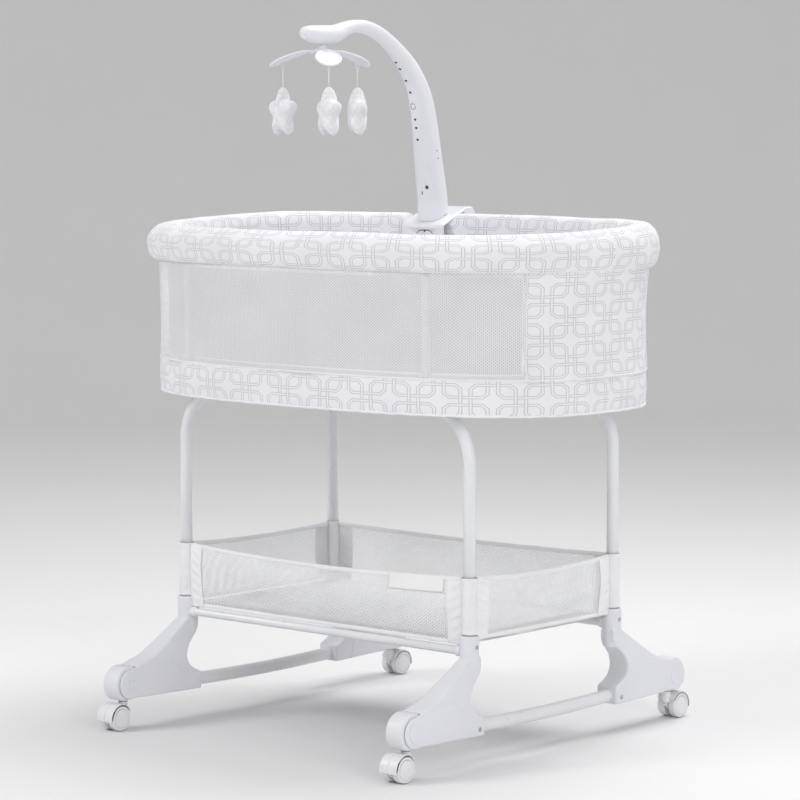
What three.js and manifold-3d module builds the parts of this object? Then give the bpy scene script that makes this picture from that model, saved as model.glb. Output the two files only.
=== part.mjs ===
// Bassinet on a rocking stand: two bent leg frames on moulded feet with fold-up casters, a soft oval
// crib with mesh walls and a padded rim, a storage basket below and a clip-on mobile above.
// Millimetres, +X along the crib, +Z up, origin on the floor under the middle of the crib.
import * as THREE from "three";
import { mergeVertices } from "three/addons/utils/BufferGeometryUtils.js";
import Module from "manifold-3d";

const wasm = await Module();
wasm.setup();

// ---- driving dimensions -------------------------------------------------------------------------
const GAP = 0.3; // left between pieces that touch
const RUNNING = 0.5; // radial room around pins that turn
const POST_X = 299.5; // leg posts stand at the corners of this rectangle
const POST_Y = 176;

const LEG_RADIUS = 9.5;
const LEG_WALL = 1.2;
const LEG_BEND = 85; // centreline radius of the two bends
const LEG_TOP = 540; // centreline height of the run under the crib
const SOCKET_RADIUS = 14.75;
const SOCKET_TOP = 197;
const SOCKET_FLOOR = 150;

const FOOT_WIDTH = 40;
const NECK_WIDTH = 27; // the foot narrows to this inside its socket
const PLATE = 3.4; // side plates around the folding wheel holder
const DRUM_Y = 321; // fold axis, measured outwards from the middle of the stand
const DRUM_Z = 72;
const DRUM_RADIUS = 29;
const PLATE_RADIUS = 24;
const CAP_RADIUS = 15.5; // round head of the fold pivot
const PIVOT_RADIUS = 4;

const RAIL_RADIUS = 10.8;
const RAIL_END_Y = 187;
const RAIL_Z = 59;
const RAIL_SAG = 4; // the rocker rail bows down this much in the middle
const BAR_RADIUS = 6.5;
const BAR_Z = 172;
const BAR_CUP_RADIUS = 9;
const BAR_CUP_LENGTH = 8;

const WHEEL_RADIUS = 19.9;
const WHEEL_INNER = 4.6; // axial distances from the middle of the caster
const WHEEL_OUTER = 17.4;
const AXLE_RADIUS = 3;
const TRAIL = 18; // the axle stands this far from the swivel axis
const HOOD_RADIUS = 23;
const STEM_RADIUS = 4;
const COLLAR_RADIUS = 7.5;
const COLLAR_BOTTOM = 44.5;
const STEM_TOP = 64;

const OVAL_POWER = 2.7; // exponent of the crib's superellipse plan
const OVAL_DIFFERENCE = 173.5; // half length minus half width, all the way up
const OVAL_SEGMENTS = 40;
const HEM_Z = 529.3;
const BAND_TOP = 583;
const RIM_BOTTOM = 743;
const RIM_TOP = 812;
const RIM_TUBE_RADIUS = 7;
const RIM_TUBE_HALF = 417; // half length of the rim tube's oval
const RIM_TUBE_Z = 776;
const BASE_TUBE_RADIUS = 6;
const BASE_TUBE_HALF = 411;
const BASE_TUBE_Z = 541;
const UPRIGHT_X = 250;
const UPRIGHT_RADIUS = 5;
const BOARD_HALF = 404;
const MATTRESS_HALF = 398;
const MATTRESS_TOP = 592;

const BASKET_FLOOR = 182;
const BASKET_TOP = 285;
const BASKET_SKIN = 3;
const BASKET_BULGE_FRONT = 28;
const BASKET_BULGE_SIDE = 10;

const MOBILE_X = -126;
const HUB_Y = -36;
const CLAMP_HALF_WIDTH = 45;
const CLAMP_PLATE = 6; // thickness of the plate that lies inside the rim
const CLAMP_LID = 5.5; // thickness of the sloping plate over the rim
const CLAMP_SLOPE = 0.451; // the lid rises outwards by this much
const CLAMP_BLOCK_TOP = 822;
const BUTTON_X = MOBILE_X + 8; // push button low on the inner face of the arm
const BUTTON_Y = 208.6;
const BUTTON_Z = 855;
const BUTTON_RADIUS = 2.6;
const KNOB_Z = 765;
const KNOB_SCREW_RADIUS = 4;
const PETALS = 3;
const PETAL_FIRST_ANGLE = -39.8; // degrees about +Z from +X
const PETAL_REACH = 91;
const PETAL_HALF_WIDTH = 20;
const STRING_RADIUS = 70; // strings hang at this distance from the hub axis
const STRING_TOP = 1054;
const STRING_LENGTH = 32;
const STAR_TIP = 42.5; // distance from the star's middle to its top point
const STAR_NOTCH = 25;
const STAR_NARROWING = 0.72; // the star is narrower than it is tall
const STAR_TURNS = [-70, 155, 65]; // how far each star has turned on its string, in degrees

const PLASTIC = { color: 0xe4e4ec, roughness: 0.45, metalness: 0 };
const PAINT = { color: 0xe6e7ea, roughness: 0.35, metalness: 0.1 };
const CLOTH = { color: 0xebebf0, roughness: 0.95, metalness: 0 };
const STEEL = { color: 0x9a9a9c, roughness: 0.35, metalness: 0.9 };
const BOARD = { color: 0xc8b79a, roughness: 0.8, metalness: 0 };

// ---- shape helpers ------------------------------------------------------------------------------
function toSolid(geometry) {
  const bare = geometry.clone();
  bare.deleteAttribute("normal");
  bare.deleteAttribute("uv");
  const merged = mergeVertices(bare, 1e-3);
  return new wasm.Manifold(new wasm.Mesh({
    numProp: 3,
    vertProperties: new Float32Array(merged.attributes.position.array),
    triVerts: new Uint32Array(merged.index.array),
  }));
}

function toGeometry(solid) {
  const mesh = solid.getMesh();
  const geometry = new THREE.BufferGeometry();
  geometry.setAttribute("position", new THREE.BufferAttribute(mesh.vertProperties, 3));
  geometry.setIndex(new THREE.BufferAttribute(mesh.triVerts, 1));
  geometry.computeVertexNormals();
  return geometry;
}

// Joins the first list of geometries and cuts the second list out of them.
function carved(added, removed) {
  let solid = toSolid(added[0]);
  for (const geometry of added.slice(1)) {
    solid = solid.add(toSolid(geometry));
  }
  for (const geometry of removed) {
    solid = solid.subtract(toSolid(geometry));
  }
  return toGeometry(solid);
}

function warp(geometry, move) {
  const position = geometry.attributes.position;
  const point = new THREE.Vector3();
  for (let i = 0; i < position.count; i += 1) {
    point.fromBufferAttribute(position, i);
    move(point);
    position.setXYZ(i, point.x, point.y, point.z);
  }
  geometry.computeVertexNormals();
  return geometry;
}

function upright(radius, bottom, top, sides = 20) {
  const geometry = new THREE.CylinderGeometry(radius, radius, top - bottom, sides);
  return geometry.rotateX(Math.PI / 2).translate(0, 0, (top + bottom) / 2);
}

function alongX(radius, from, to, sides = 20) {
  return upright(radius, from, to, sides).rotateY(Math.PI / 2);
}

function alongY(radius, from, to, sides = 20) {
  return upright(radius, from, to, sides).rotateX(-Math.PI / 2);
}

function block(sizeX, sizeY, sizeZ, x, y, z) {
  return new THREE.BoxGeometry(sizeX, sizeY, sizeZ).translate(x, y, z);
}

// Extrudes a shape drawn in (y, z) along X, centred on x = 0, with rounded edges.
function slab(shape, width, rounding) {
  const geometry = new THREE.ExtrudeGeometry(shape, {
    depth: width - 2 * rounding,
    bevelEnabled: rounding > 0,
    bevelThickness: rounding,
    bevelSize: rounding,
    bevelOffset: -rounding,
    bevelSegments: 1,
    curveSegments: 4,
  });
  geometry.translate(0, 0, rounding - width / 2);
  return geometry.rotateX(Math.PI / 2).rotateZ(Math.PI / 2);
}

function roundShape(sides, hollow = 0) {
  const shape = new THREE.Shape();
  const hole = new THREE.Path();
  for (let i = 0; i < sides; i += 1) {
    const angle = (i + 0.5) * 2 * Math.PI / sides;
    shape[i ? "lineTo" : "moveTo"](Math.cos(angle), Math.sin(angle));
    hole[i ? "lineTo" : "moveTo"](hollow * Math.cos(angle), hollow * Math.sin(angle));
  }
  if (hollow) {
    shape.holes.push(hole);
  }
  return shape;
}

// Sweeps a round section through stations {at, wide, thick}. "wide" is the half size along the
// unit vector "across", "thick" the half size at right angles to it and to the route.
function sweep(stations, across, sides, hollow = 0) {
  const last = stations.length - 1;
  const geometry = new THREE.ExtrudeGeometry(roundShape(sides, hollow), {
    depth: last,
    steps: last,
    bevelEnabled: false,
  });
  const frames = stations.map((station, i) => {
    const ahead = stations[Math.min(i + 1, last)].at;
    const behind = stations[Math.max(i - 1, 0)].at;
    const along = ahead.clone().sub(behind).normalize();
    return {
      ...station,
      side: across.clone().sub(along.clone().multiplyScalar(across.dot(along))).normalize(),
      along,
    };
  });
  return warp(geometry, (point) => {
    const { at, wide, thick, side, along } = frames[Math.round(point.z)];
    const through = along.clone().cross(side);
    const offset = side.clone().multiplyScalar(point.x * wide);
    offset.add(through.multiplyScalar(point.y * thick));
    point.copy(at).add(offset);
  });
}

function pipe(points, across, radius, sides, wall = 0) {
  const stations = points.map((at) => ({ at, wide: radius, thick: radius }));
  return sweep(stations, across, sides, wall ? (radius - wall) / radius : 0);
}

// How far the superellipse stands out from a circle in the direction of (x, y).
function ovalSwell(x, y) {
  const r = Math.hypot(x, y);
  const power = OVAL_POWER;
  return ((Math.abs(x) / r) ** power + (Math.abs(y) / r) ** power) ** (-1 / power);
}

function ovalPoint(angle, half, z) {
  const swell = ovalSwell(Math.cos(angle), Math.sin(angle));
  const halfWidth = half - OVAL_DIFFERENCE;
  return new THREE.Vector3(half * swell * Math.cos(angle), halfWidth * swell * Math.sin(angle), z);
}

// A closed ring around the crib: the profile's first number is the oval's half length there.
function ovalRing(profile) {
  const points = [...profile, profile[0]].map(([half, z]) => new THREE.Vector2(half, z));
  const ring = new THREE.LatheGeometry(points, OVAL_SEGMENTS).rotateX(Math.PI / 2);
  return warp(ring, (point) => {
    const r = Math.hypot(point.x, point.y);
    const swell = ovalSwell(point.x, point.y);
    point.x *= swell;
    point.y *= swell * (r - OVAL_DIFFERENCE) / r;
  });
}

// A plate or cushion that fills the oval: the profile starts and ends on the axis.
function ovalDisc(profile, half) {
  const points = profile.map(([r, z]) => new THREE.Vector2(r, z));
  const disc = new THREE.LatheGeometry(points, OVAL_SEGMENTS).rotateX(Math.PI / 2);
  return warp(disc, (point) => {
    if (Math.hypot(point.x, point.y) < 1e-6) {
      return;
    }
    const swell = ovalSwell(point.x, point.y);
    point.x *= swell;
    point.y *= swell * (half - OVAL_DIFFERENCE) / half;
  });
}

// ---- scene graph --------------------------------------------------------------------------------
const bassinet = new THREE.Group();

function place(parent, name, geometry, look) {
  const mesh = new THREE.Mesh(geometry, new THREE.MeshStandardMaterial(look));
  mesh.name = name;
  parent.add(mesh);
  return mesh;
}

const CORNERS = [
  { name: "front_left", sx: -1, sy: -1 },
  { name: "front_right", sx: 1, sy: -1 },
  { name: "back_left", sx: -1, sy: 1 },
  { name: "back_right", sx: 1, sy: 1 },
];

// ---- stand --------------------------------------------------------------------------------------
function legFrame() {
  const points = [];
  const bendSteps = 5;
  const inner = POST_X - LEG_BEND;
  points.push(new THREE.Vector3(-POST_X, 0, SOCKET_FLOOR + GAP));
  for (let i = 0; i <= bendSteps; i += 1) {
    const angle = i / bendSteps * Math.PI / 2;
    const rise = LEG_TOP - LEG_BEND + LEG_BEND * Math.sin(angle);
    points.push(new THREE.Vector3(-inner - LEG_BEND * Math.cos(angle), 0, rise));
  }
  const mirrored = points.map((point) => new THREE.Vector3(-point.x, 0, point.z)).reverse();
  return pipe([...points, ...mirrored], new THREE.Vector3(0, 1, 0), LEG_RADIUS, 12, LEG_WALL);
}

// Side view of a foot in (y, z), y measured outwards from the middle of the stand.
function footShape() {
  const shape = new THREE.Shape();
  const heel = POST_Y - SOCKET_RADIUS + 1.5;
  shape.moveTo(heel, 150);
  shape.bezierCurveTo(heel, 136, 190, 128, 194, 104);
  shape.bezierCurveTo(194, 90, 182, 80, 162.5, 74);
  shape.lineTo(162.5, 45);
  shape.lineTo(310, DRUM_Z - PLATE_RADIUS + 1);
  shape.absarc(DRUM_Y, DRUM_Z, PLATE_RADIUS, -Math.PI / 2, Math.PI / 2, false);
  shape.quadraticCurveTo(300, 102, 278, 108);
  shape.quadraticCurveTo(268, 111, 258, 116.5);
  shape.lineTo(POST_Y + SOCKET_RADIUS, 160);
  shape.lineTo(heel, 165);
  shape.closePath();
  return shape;
}

function foot() {
  const body = warp(slab(footShape(), FOOT_WIDTH, 4), (point) => {
    const up = THREE.MathUtils.smoothstep(point.z, 98, 160);
    point.x *= THREE.MathUtils.lerp(1, NECK_WIDTH / FOOT_WIDTH, up);
  });
  const socket = upright(SOCKET_RADIUS, 141, SOCKET_TOP, 18).translate(0, POST_Y, 0);
  const slotWidth = FOOT_WIDTH / 2 - PLATE;
  return carved([body, socket], [
    upright(LEG_RADIUS + GAP + 0.2, SOCKET_FLOOR, SOCKET_TOP + 1, 16).translate(0, POST_Y, 0),
    alongY(RAIL_RADIUS + 1.1, 150, RAIL_END_Y + GAP, 16).translate(0, 0, RAIL_Z - 0.6),
    alongX(DRUM_RADIUS + 0.8, -slotWidth, slotWidth, 24).translate(0, DRUM_Y, DRUM_Z),
    alongX(PIVOT_RADIUS + RUNNING, -FOOT_WIDTH, FOOT_WIDTH, 8).translate(0, DRUM_Y, DRUM_Z),
  ]);
}

// Pin of the folding wheel holder: a flat round head outside, a squarish rivet lug inside.
function wheelPivot() {
  const face = FOOT_WIDTH / 2 + GAP;
  return carved([
    alongX(PIVOT_RADIUS, -face - 1, face + 1, 8),
    alongX(CAP_RADIUS, face, face + 1.4, 20),
    block(2, 11, 13, -face - 1, 0, 0),
  ], []).translate(0, DRUM_Y, DRUM_Z);
}

// Drum between the foot's plates that carries the swivel socket of a caster.
function casterHolder() {
  const half = FOOT_WIDTH / 2 - PLATE - 0.4;
  const drum = new THREE.LatheGeometry([
    new THREE.Vector2(0, -half),
    new THREE.Vector2(DRUM_RADIUS - 4, -half),
    new THREE.Vector2(DRUM_RADIUS, -half + 5),
    new THREE.Vector2(DRUM_RADIUS, half - 5),
    new THREE.Vector2(DRUM_RADIUS - 4, half),
    new THREE.Vector2(0, half),
  ], 20).rotateZ(-Math.PI / 2).translate(0, DRUM_Y, DRUM_Z);
  const flatBelow = block(80, 90, 30, 0, DRUM_Y, DRUM_Z - DRUM_RADIUS + 5 - 15);
  const trimmed = carved([drum], [flatBelow]);
  return carved([trimmed, upright(COLLAR_RADIUS, COLLAR_BOTTOM, 60, 12).translate(0, DRUM_Y, 0)], [
    alongX(PIVOT_RADIUS + RUNNING, -half - 1, half + 1, 8).translate(0, DRUM_Y, DRUM_Z),
    upright(STEM_RADIUS + RUNNING, 30, STEM_TOP + GAP, 8).translate(0, DRUM_Y, 0),
  ]);
}

// Twin-wheel caster body: hood over both wheels, middle web, axle stubs and swivel stem.
function casterHood() {
  const shape = new THREE.Shape();
  const inner = WHEEL_RADIUS + 0.9;
  const start = THREE.MathUtils.degToRad(-12);
  const end = THREE.MathUtils.degToRad(152);
  shape.absarc(0, 0, HOOD_RADIUS, start, end, false);
  shape.absarc(0, 0, inner, end, start, true);
  shape.closePath();
  const hood = slab(shape, 2 * WHEEL_OUTER - 1, 0);
  const web = new THREE.Shape();
  const reach = HOOD_RADIUS - 1;
  web.absarc(0, 0, reach, start, end, false);
  web.lineTo(-TRAIL - 6, 2);
  web.lineTo(-9, -9);
  web.lineTo(12, -11);
  web.closePath();
  const swivelTop = COLLAR_BOTTOM - WHEEL_RADIUS - 0.6;
  return carved([
    hood,
    slab(web, 7, 0),
    alongX(AXLE_RADIUS, -13.5, 13.5, 8),
    upright(COLLAR_RADIUS, 4, swivelTop, 12).translate(0, -TRAIL, 0),
    upright(STEM_RADIUS, 10, STEM_TOP - WHEEL_RADIUS, 8).translate(0, -TRAIL, 0),
  ], wheelRooms()).translate(0, TRAIL + DRUM_Y, WHEEL_RADIUS);
}

// Spaces that the two wheels turn in, cut from the caster body beside its web.
function wheelRooms() {
  return [-1, 1].map((side) => {
    const from = Math.min(side * (WHEEL_INNER - 0.5), side * 30);
    const to = Math.max(side * (WHEEL_INNER - 0.5), side * 30);
    const room = alongX(WHEEL_RADIUS + 0.55, from, to, 20);
    return carved([room], [alongX(AXLE_RADIUS, -13.5, 13.5, 8)]);
  });
}

// One wheel with a blind axle hole in its inner face and a domed hub cap outside.
function wheel() {
  const hole = AXLE_RADIUS + 0.35;
  const profile = [
    [0, 13.9],
    [hole, 13.9],
    [hole, WHEEL_INNER],
    [WHEEL_RADIUS, WHEEL_INNER],
    [WHEEL_RADIUS, WHEEL_OUTER - 3],
    [WHEEL_RADIUS - 3, WHEEL_OUTER],
    [0, WHEEL_OUTER + 1],
  ];
  const points = profile.map(([r, along]) => new THREE.Vector2(r, along));
  return new THREE.LatheGeometry(points, 16).rotateZ(-Math.PI / 2);
}

function rockerRail() {
  const points = [];
  const steps = 6;
  for (let i = 0; i <= steps; i += 1) {
    const along = 2 * i / steps - 1;
    const sag = RAIL_SAG * (1 - along * along);
    points.push(new THREE.Vector3(0, along * (RAIL_END_Y - 1), RAIL_Z - sag));
  }
  return pipe(points, new THREE.Vector3(1, 0, 0), RAIL_RADIUS, 12, LEG_WALL);
}

function crossBar() {
  const end = POST_X - SOCKET_RADIUS + 4;
  const cupFrom = POST_X - SOCKET_RADIUS - BAR_CUP_LENGTH;
  const sockets = [-1, 1].map((side) => upright(SOCKET_RADIUS + GAP, 100, 250, 18)
    .translate(side * POST_X, 0, -BAR_Z));
  return carved([
    alongX(BAR_RADIUS, -end, end, 12),
    alongX(BAR_CUP_RADIUS, cupFrom, end, 14),
    alongX(BAR_CUP_RADIUS, -end, -cupFrom, 14),
  ], sockets);
}

function buildStand() {
  for (const { name, sy } of [{ name: "front", sy: -1 }, { name: "back", sy: 1 }]) {
    place(bassinet, `leg_frame_${name}`, legFrame(), PAINT).position.set(0, sy * POST_Y, 0);
    place(bassinet, `cross_bar_${name}`, crossBar(), PAINT).position.set(0, sy * POST_Y, BAR_Z);
  }
  for (const { name, sx } of [{ name: "left", sx: -1 }, { name: "right", sx: 1 }]) {
    place(bassinet, `rocker_rail_${name}`, rockerRail(), PAINT).position.set(sx * POST_X, 0, 0);
  }
  for (const { name, sx, sy } of CORNERS) {
    const corner = new THREE.Group();
    corner.position.set(sx * POST_X, 0, 0);
    corner.rotation.z = sy > 0 ? 0 : Math.PI;
    bassinet.add(corner);
    place(corner, `foot_${name}`, foot(), PLASTIC);
    const pin = sx * sy > 0 ? wheelPivot() : wheelPivot().rotateZ(Math.PI).translate(0, 2 * DRUM_Y, 0);
    place(corner, `wheel_pivot_${name}`, pin, PLASTIC);
    place(corner, `caster_holder_${name}`, casterHolder(), PLASTIC);
    place(corner, `caster_hood_${name}`, casterHood(), PLASTIC);
    for (const { end, turn } of [{ end: "a", turn: 0 }, { end: "b", turn: Math.PI }]) {
      const disc = place(corner, `wheel_${name}_${end}`, wheel(), PLASTIC);
      disc.position.set(0, DRUM_Y + TRAIL, WHEEL_RADIUS);
      disc.rotation.z = turn;
    }
  }
}

// ---- crib frame ---------------------------------------------------------------------------------
function halfHoop(side, half, z, radius, sides) {
  const points = [];
  const steps = 16;
  const endGap = 0.004; // radians left open where the two halves of a hoop meet
  for (let i = 0; i <= steps; i += 1) {
    const angle = THREE.MathUtils.lerp(-Math.PI / 2 + endGap, Math.PI / 2 - endGap, i / steps);
    const point = ovalPoint(angle, half, z);
    points.push(new THREE.Vector3(side * point.x, side * point.y, z));
  }
  return pipe(points, new THREE.Vector3(0, 0, 1), radius, sides, LEG_WALL);
}

function ovalHalfWidthAt(x, half) {
  const share = 1 - (Math.abs(x) / half) ** OVAL_POWER;
  return (half - OVAL_DIFFERENCE) * share ** (1 / OVAL_POWER);
}

// Half of the rim hoop with the two uprights that stand it on the base hoop.
function rimHalf(side) {
  const bottom = BASE_TUBE_Z + BASE_TUBE_RADIUS + GAP;
  const posts = [-1, 1].map((sy) => {
    const foothold = ovalHalfWidthAt(UPRIGHT_X, BASE_TUBE_HALF);
    const head = ovalHalfWidthAt(UPRIGHT_X, RIM_TUBE_HALF);
    return pipe([
      new THREE.Vector3(side * UPRIGHT_X, sy * foothold, bottom),
      new THREE.Vector3(side * UPRIGHT_X, sy * head, RIM_TUBE_Z - RIM_TUBE_RADIUS + 1.1),
    ], new THREE.Vector3(1, 0, 0), UPRIGHT_RADIUS, 10);
  });
  return carved([halfHoop(side, RIM_TUBE_HALF, RIM_TUBE_Z, RIM_TUBE_RADIUS, 8), ...posts], []);
}

function buildCribFrame() {
  for (const { name, side } of [{ name: "left", side: -1 }, { name: "right", side: 1 }]) {
    const base = halfHoop(side, BASE_TUBE_HALF, BASE_TUBE_Z, BASE_TUBE_RADIUS, 8);
    place(bassinet, `base_hoop_${name}`, base, PAINT);
    place(bassinet, `rim_frame_${name}`, rimHalf(side), PAINT);
    const strapZ = LEG_TOP + LEG_RADIUS + GAP + 1;
    const strap = block(22, 2 * ovalHalfWidthAt(150, BASE_TUBE_HALF) + 6, 2, side * 150, 0, strapZ);
    place(bassinet, `cross_strap_${name}`, strap, STEEL);
  }
  const boardBottom = LEG_TOP + LEG_RADIUS + 2 * GAP + 2;
  const boardTop = boardBottom + 4;
  const board = [[0, boardBottom], [BOARD_HALF, boardBottom], [BOARD_HALF, boardTop], [0, boardTop]];
  place(bassinet, "base_board", ovalDisc(board, BOARD_HALF), BOARD);
  const pad = [
    [0, boardTop + GAP],
    [MATTRESS_HALF, boardTop + GAP],
    [MATTRESS_HALF, MATTRESS_TOP - 10],
    [MATTRESS_HALF - 6, MATTRESS_TOP],
    [0, MATTRESS_TOP],
  ];
  place(bassinet, "mattress", ovalDisc(pad, MATTRESS_HALF), CLOTH);
}

// ---- crib covers --------------------------------------------------------------------------------
// Height of the clamp's sloping lid at a distance y from the middle of the crib.
function lidTop(y) {
  return 796.8 + CLAMP_SLOPE * (y - 214);
}

// Room above a line parallel to the clamp's lid, "below" under its top, or the room under that line.
function lidRoom(below, width, end) {
  const shape = new THREE.Shape();
  const near = 150;
  const far = 320;
  shape.moveTo(near, lidTop(near) - below);
  shape.lineTo(far, lidTop(far) - below);
  shape.lineTo(far, end);
  shape.lineTo(near, end);
  shape.closePath();
  return slab(shape, width, 0).translate(MOBILE_X, 0, 0);
}

function buildCribCovers() {
  const band = [
    [423.5, HEM_Z], [428, HEM_Z + 14], [429, HEM_Z + 30], [425.5, BAND_TOP - GAP],
    [421, BAND_TOP - GAP], [419.5, HEM_Z],
  ];
  const mesh = [[424.5, BAND_TOP], [428, RIM_BOTTOM - GAP], [425.4, RIM_BOTTOM - GAP], [421.9, BAND_TOP]];
  const pad = [
    [431, RIM_BOTTOM], [438, 760], [437, 790], [428, 808], [413, RIM_TOP],
    [400, 803], [396.5, 780], [397, 755], [404, RIM_BOTTOM],
    [RIM_TUBE_HALF - 11, RIM_BOTTOM], [RIM_TUBE_HALF - 11, RIM_TUBE_Z + 10],
    [RIM_TUBE_HALF + 11, RIM_TUBE_Z + 10], [428.6, RIM_BOTTOM],
  ];
  place(bassinet, "lower_band", ovalRing(band), CLOTH);
  place(bassinet, "mesh_wall", ovalRing(mesh), CLOTH);
  const squeezed = lidRoom(CLAMP_LID + GAP, 2 * (CLAMP_HALF_WIDTH + GAP), 900);
  place(bassinet, "rim_pad", carved([ovalRing(pad)], [squeezed]), CLOTH);
}

// ---- storage basket -----------------------------------------------------------------------------
// Plan of the basket from post to post, each side bulging outwards, drawn "inset" inside its outline.
function basketShape(inset) {
  const x = POST_X - inset;
  const y = POST_Y - inset;
  const shape = new THREE.Shape();
  shape.moveTo(-x, -y);
  shape.quadraticCurveTo(0, -y - BASKET_BULGE_FRONT, x, -y);
  shape.quadraticCurveTo(x + BASKET_BULGE_SIDE, 0, x, y);
  shape.quadraticCurveTo(0, y + BASKET_BULGE_FRONT, -x, y);
  shape.quadraticCurveTo(-x - BASKET_BULGE_SIDE, 0, -x, -y);
  return shape;
}

function basketPrism(inset, bottom, top) {
  const options = { depth: top - bottom, bevelEnabled: false, curveSegments: 7 };
  return new THREE.ExtrudeGeometry(basketShape(inset), options).translate(0, 0, bottom);
}

// The top edge hangs lower between the posts than at them.
function sagged(geometry) {
  return warp(geometry, (point) => {
    if (point.z > BASKET_TOP - 30) {
      const along = Math.max(0, 1 - (point.x / POST_X) ** 2) + Math.max(0, 1 - (point.y / POST_Y) ** 2);
      point.z -= 7 * Math.min(1, along);
    }
  });
}

function storageBasket() {
  const outer = sagged(basketPrism(0, BASKET_FLOOR, BASKET_TOP));
  const hollow = basketPrism(BASKET_SKIN, BASKET_FLOOR + BASKET_SKIN, BASKET_TOP + 20);
  const tray = carved([outer], [hollow]);
  const sleeves = [];
  const cuts = [];
  for (const { sx, sy } of CORNERS) {
    const at = [sx * POST_X, sy * POST_Y, 0];
    sleeves.push(upright(LEG_RADIUS + 3, 199, BASKET_TOP, 12).translate(...at));
    cuts.push(upright(LEG_RADIUS + 0.7, 150, 320, 12).translate(...at));
    cuts.push(upright(SOCKET_RADIUS + 0.5, 150, SOCKET_TOP + 1, 14).translate(...at));
  }
  return carved([tray, ...sleeves], cuts);
}

function buildBasket() {
  place(bassinet, "storage_basket", storageBasket(), CLOTH);
  const floor = block(500, 300, 3, 0, 0, BASKET_FLOOR + BASKET_SKIN + 2 * GAP + 1.5);
  place(bassinet, "basket_floor_board", floor, BOARD);
}

// ---- mobile -------------------------------------------------------------------------------------
// Hooks over the padded rim: a thin plate inside the crib, a hollow block outside it.
function mobileClamp() {
  const inside = ovalHalfWidthAt(MOBILE_X - CLAMP_HALF_WIDTH, 396) - 1.5;
  const outside = ovalHalfWidthAt(MOBILE_X + CLAMP_HALF_WIDTH, 438) + 1;
  const front = inside - CLAMP_PLATE;
  const outline = new THREE.Shape();
  outline.moveTo(front, 752);
  outline.lineTo(outside, 742);
  outline.lineTo(outside + 22, 742);
  outline.quadraticCurveTo(outside + 31, 768, outside + 28, 812);
  outline.lineTo(outside + 21, CLAMP_BLOCK_TOP);
  outline.lineTo(outside + 5, CLAMP_BLOCK_TOP);
  outline.lineTo(front + 2, lidTop(front + 2));
  outline.lineTo(front, lidTop(front) - 2);
  outline.closePath();
  const rimRoom = new THREE.Shape();
  rimRoom.moveTo(inside, 700);
  rimRoom.lineTo(outside, 700);
  rimRoom.lineTo(outside, lidTop(outside) - CLAMP_LID);
  rimRoom.lineTo(inside, lidTop(inside) - CLAMP_LID);
  rimRoom.closePath();
  return carved([slab(outline, 2 * CLAMP_HALF_WIDTH, 3)], [
    slab(rimRoom, 2 * CLAMP_HALF_WIDTH + 10, 0),
    alongY(KNOB_SCREW_RADIUS + RUNNING, outside + 6, outside + 60, 10).translate(0, 0, KNOB_Z),
  ]).translate(MOBILE_X, 0, 0);
}

function armStation(y, z, width, depth) {
  return { at: new THREE.Vector3(MOBILE_X, y, z), wide: width / 2, thick: depth / 2 };
}

// The arm stands on the clamp's lid, bends over the crib and ends in the motor head.
function mobileArm() {
  const stations = [
    armStation(234, 785, 50, 41),
    armStation(234, 831, 50, 41),
    armStation(229, 863, 48, 42),
    armStation(222, 905, 44, 43),
    armStation(215, 950.5, 38, 44),
    armStation(206, 992, 33, 44),
    armStation(193, 1024, 30, 39),
    armStation(172, 1053.5, 24, 36),
    armStation(141, 1081, 22, 29),
    armStation(104, 1105, 21, 24.5),
    armStation(69, 1117, 21, 23),
    armStation(39, 1119, 21, 21),
    armStation(15, 1114, 25, 24),
    armStation(-9, 1106, 34, 29),
    armStation(-33, 1104, 38, 31),
    armStation(-59, 1105, 36, 28),
    armStation(-77, 1107, 26, 20),
    armStation(-82, 1107, 14, 11),
  ];
  const arm = sweep(stations, new THREE.Vector3(1, 0, 0), 12);
  const underLid = lidRoom(-GAP, 100, 700);
  const shaftRoom = upright(5, 1060, 1103, 12).translate(MOBILE_X, HUB_Y, 0);
  const buttonRoom = alongY(BUTTON_RADIUS + RUNNING, 180, BUTTON_Y + 9.4, 10);
  buttonRoom.translate(BUTTON_X, 0, BUTTON_Z);
  return carved([arm], [underLid, shaftRoom, buttonRoom]);
}

function mobileHub() {
  return carved([
    upright(4.4, 1077, 1102, 12),
    upright(6.5, 1079, 1087, 16),
    upright(13, 1074, 1081, 18),
  ], []).translate(MOBILE_X, HUB_Y, 0);
}

// Half width of a petal, 0 to 1 along its length: a stem that swells into a round-ended spoon.
function petalHalfWidth(share) {
  const stem = 3;
  const widest = 0.66;
  if (share > widest) {
    const fall = (share - widest) / (1.01 - widest);
    return PETAL_HALF_WIDTH * Math.sqrt(1 - fall * fall);
  }
  const rise = THREE.MathUtils.smoothstep(share, 0.04, widest);
  return THREE.MathUtils.lerp(stem, PETAL_HALF_WIDTH, rise);
}

// Leaf that droops from the hub: a thin curved blade, drawn along +X and then turned into place.
function petal() {
  const root = 13.6;
  const stations = [];
  for (const share of [0, 0.1, 0.22, 0.34, 0.46, 0.58, 0.7, 0.8, 0.88, 0.94, 0.98, 1]) {
    stations.push({
      at: new THREE.Vector3(THREE.MathUtils.lerp(root, PETAL_REACH, share), 0, 1077.5 - 27 * share ** 1.6),
      wide: petalHalfWidth(share),
      thick: 1.4,
    });
  }
  const blade = sweep(stations, new THREE.Vector3(0, 1, 0), 8);
  const lug = upright(1.6, STRING_TOP, STRING_TOP + 7.5, 8).translate(STRING_RADIUS, 0, 0);
  return carved([blade, lug], []);
}

function toyString() {
  return upright(0.8, STRING_TOP - STRING_LENGTH, STRING_TOP - GAP, 8).translate(STRING_RADIUS, 0, 0);
}

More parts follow.
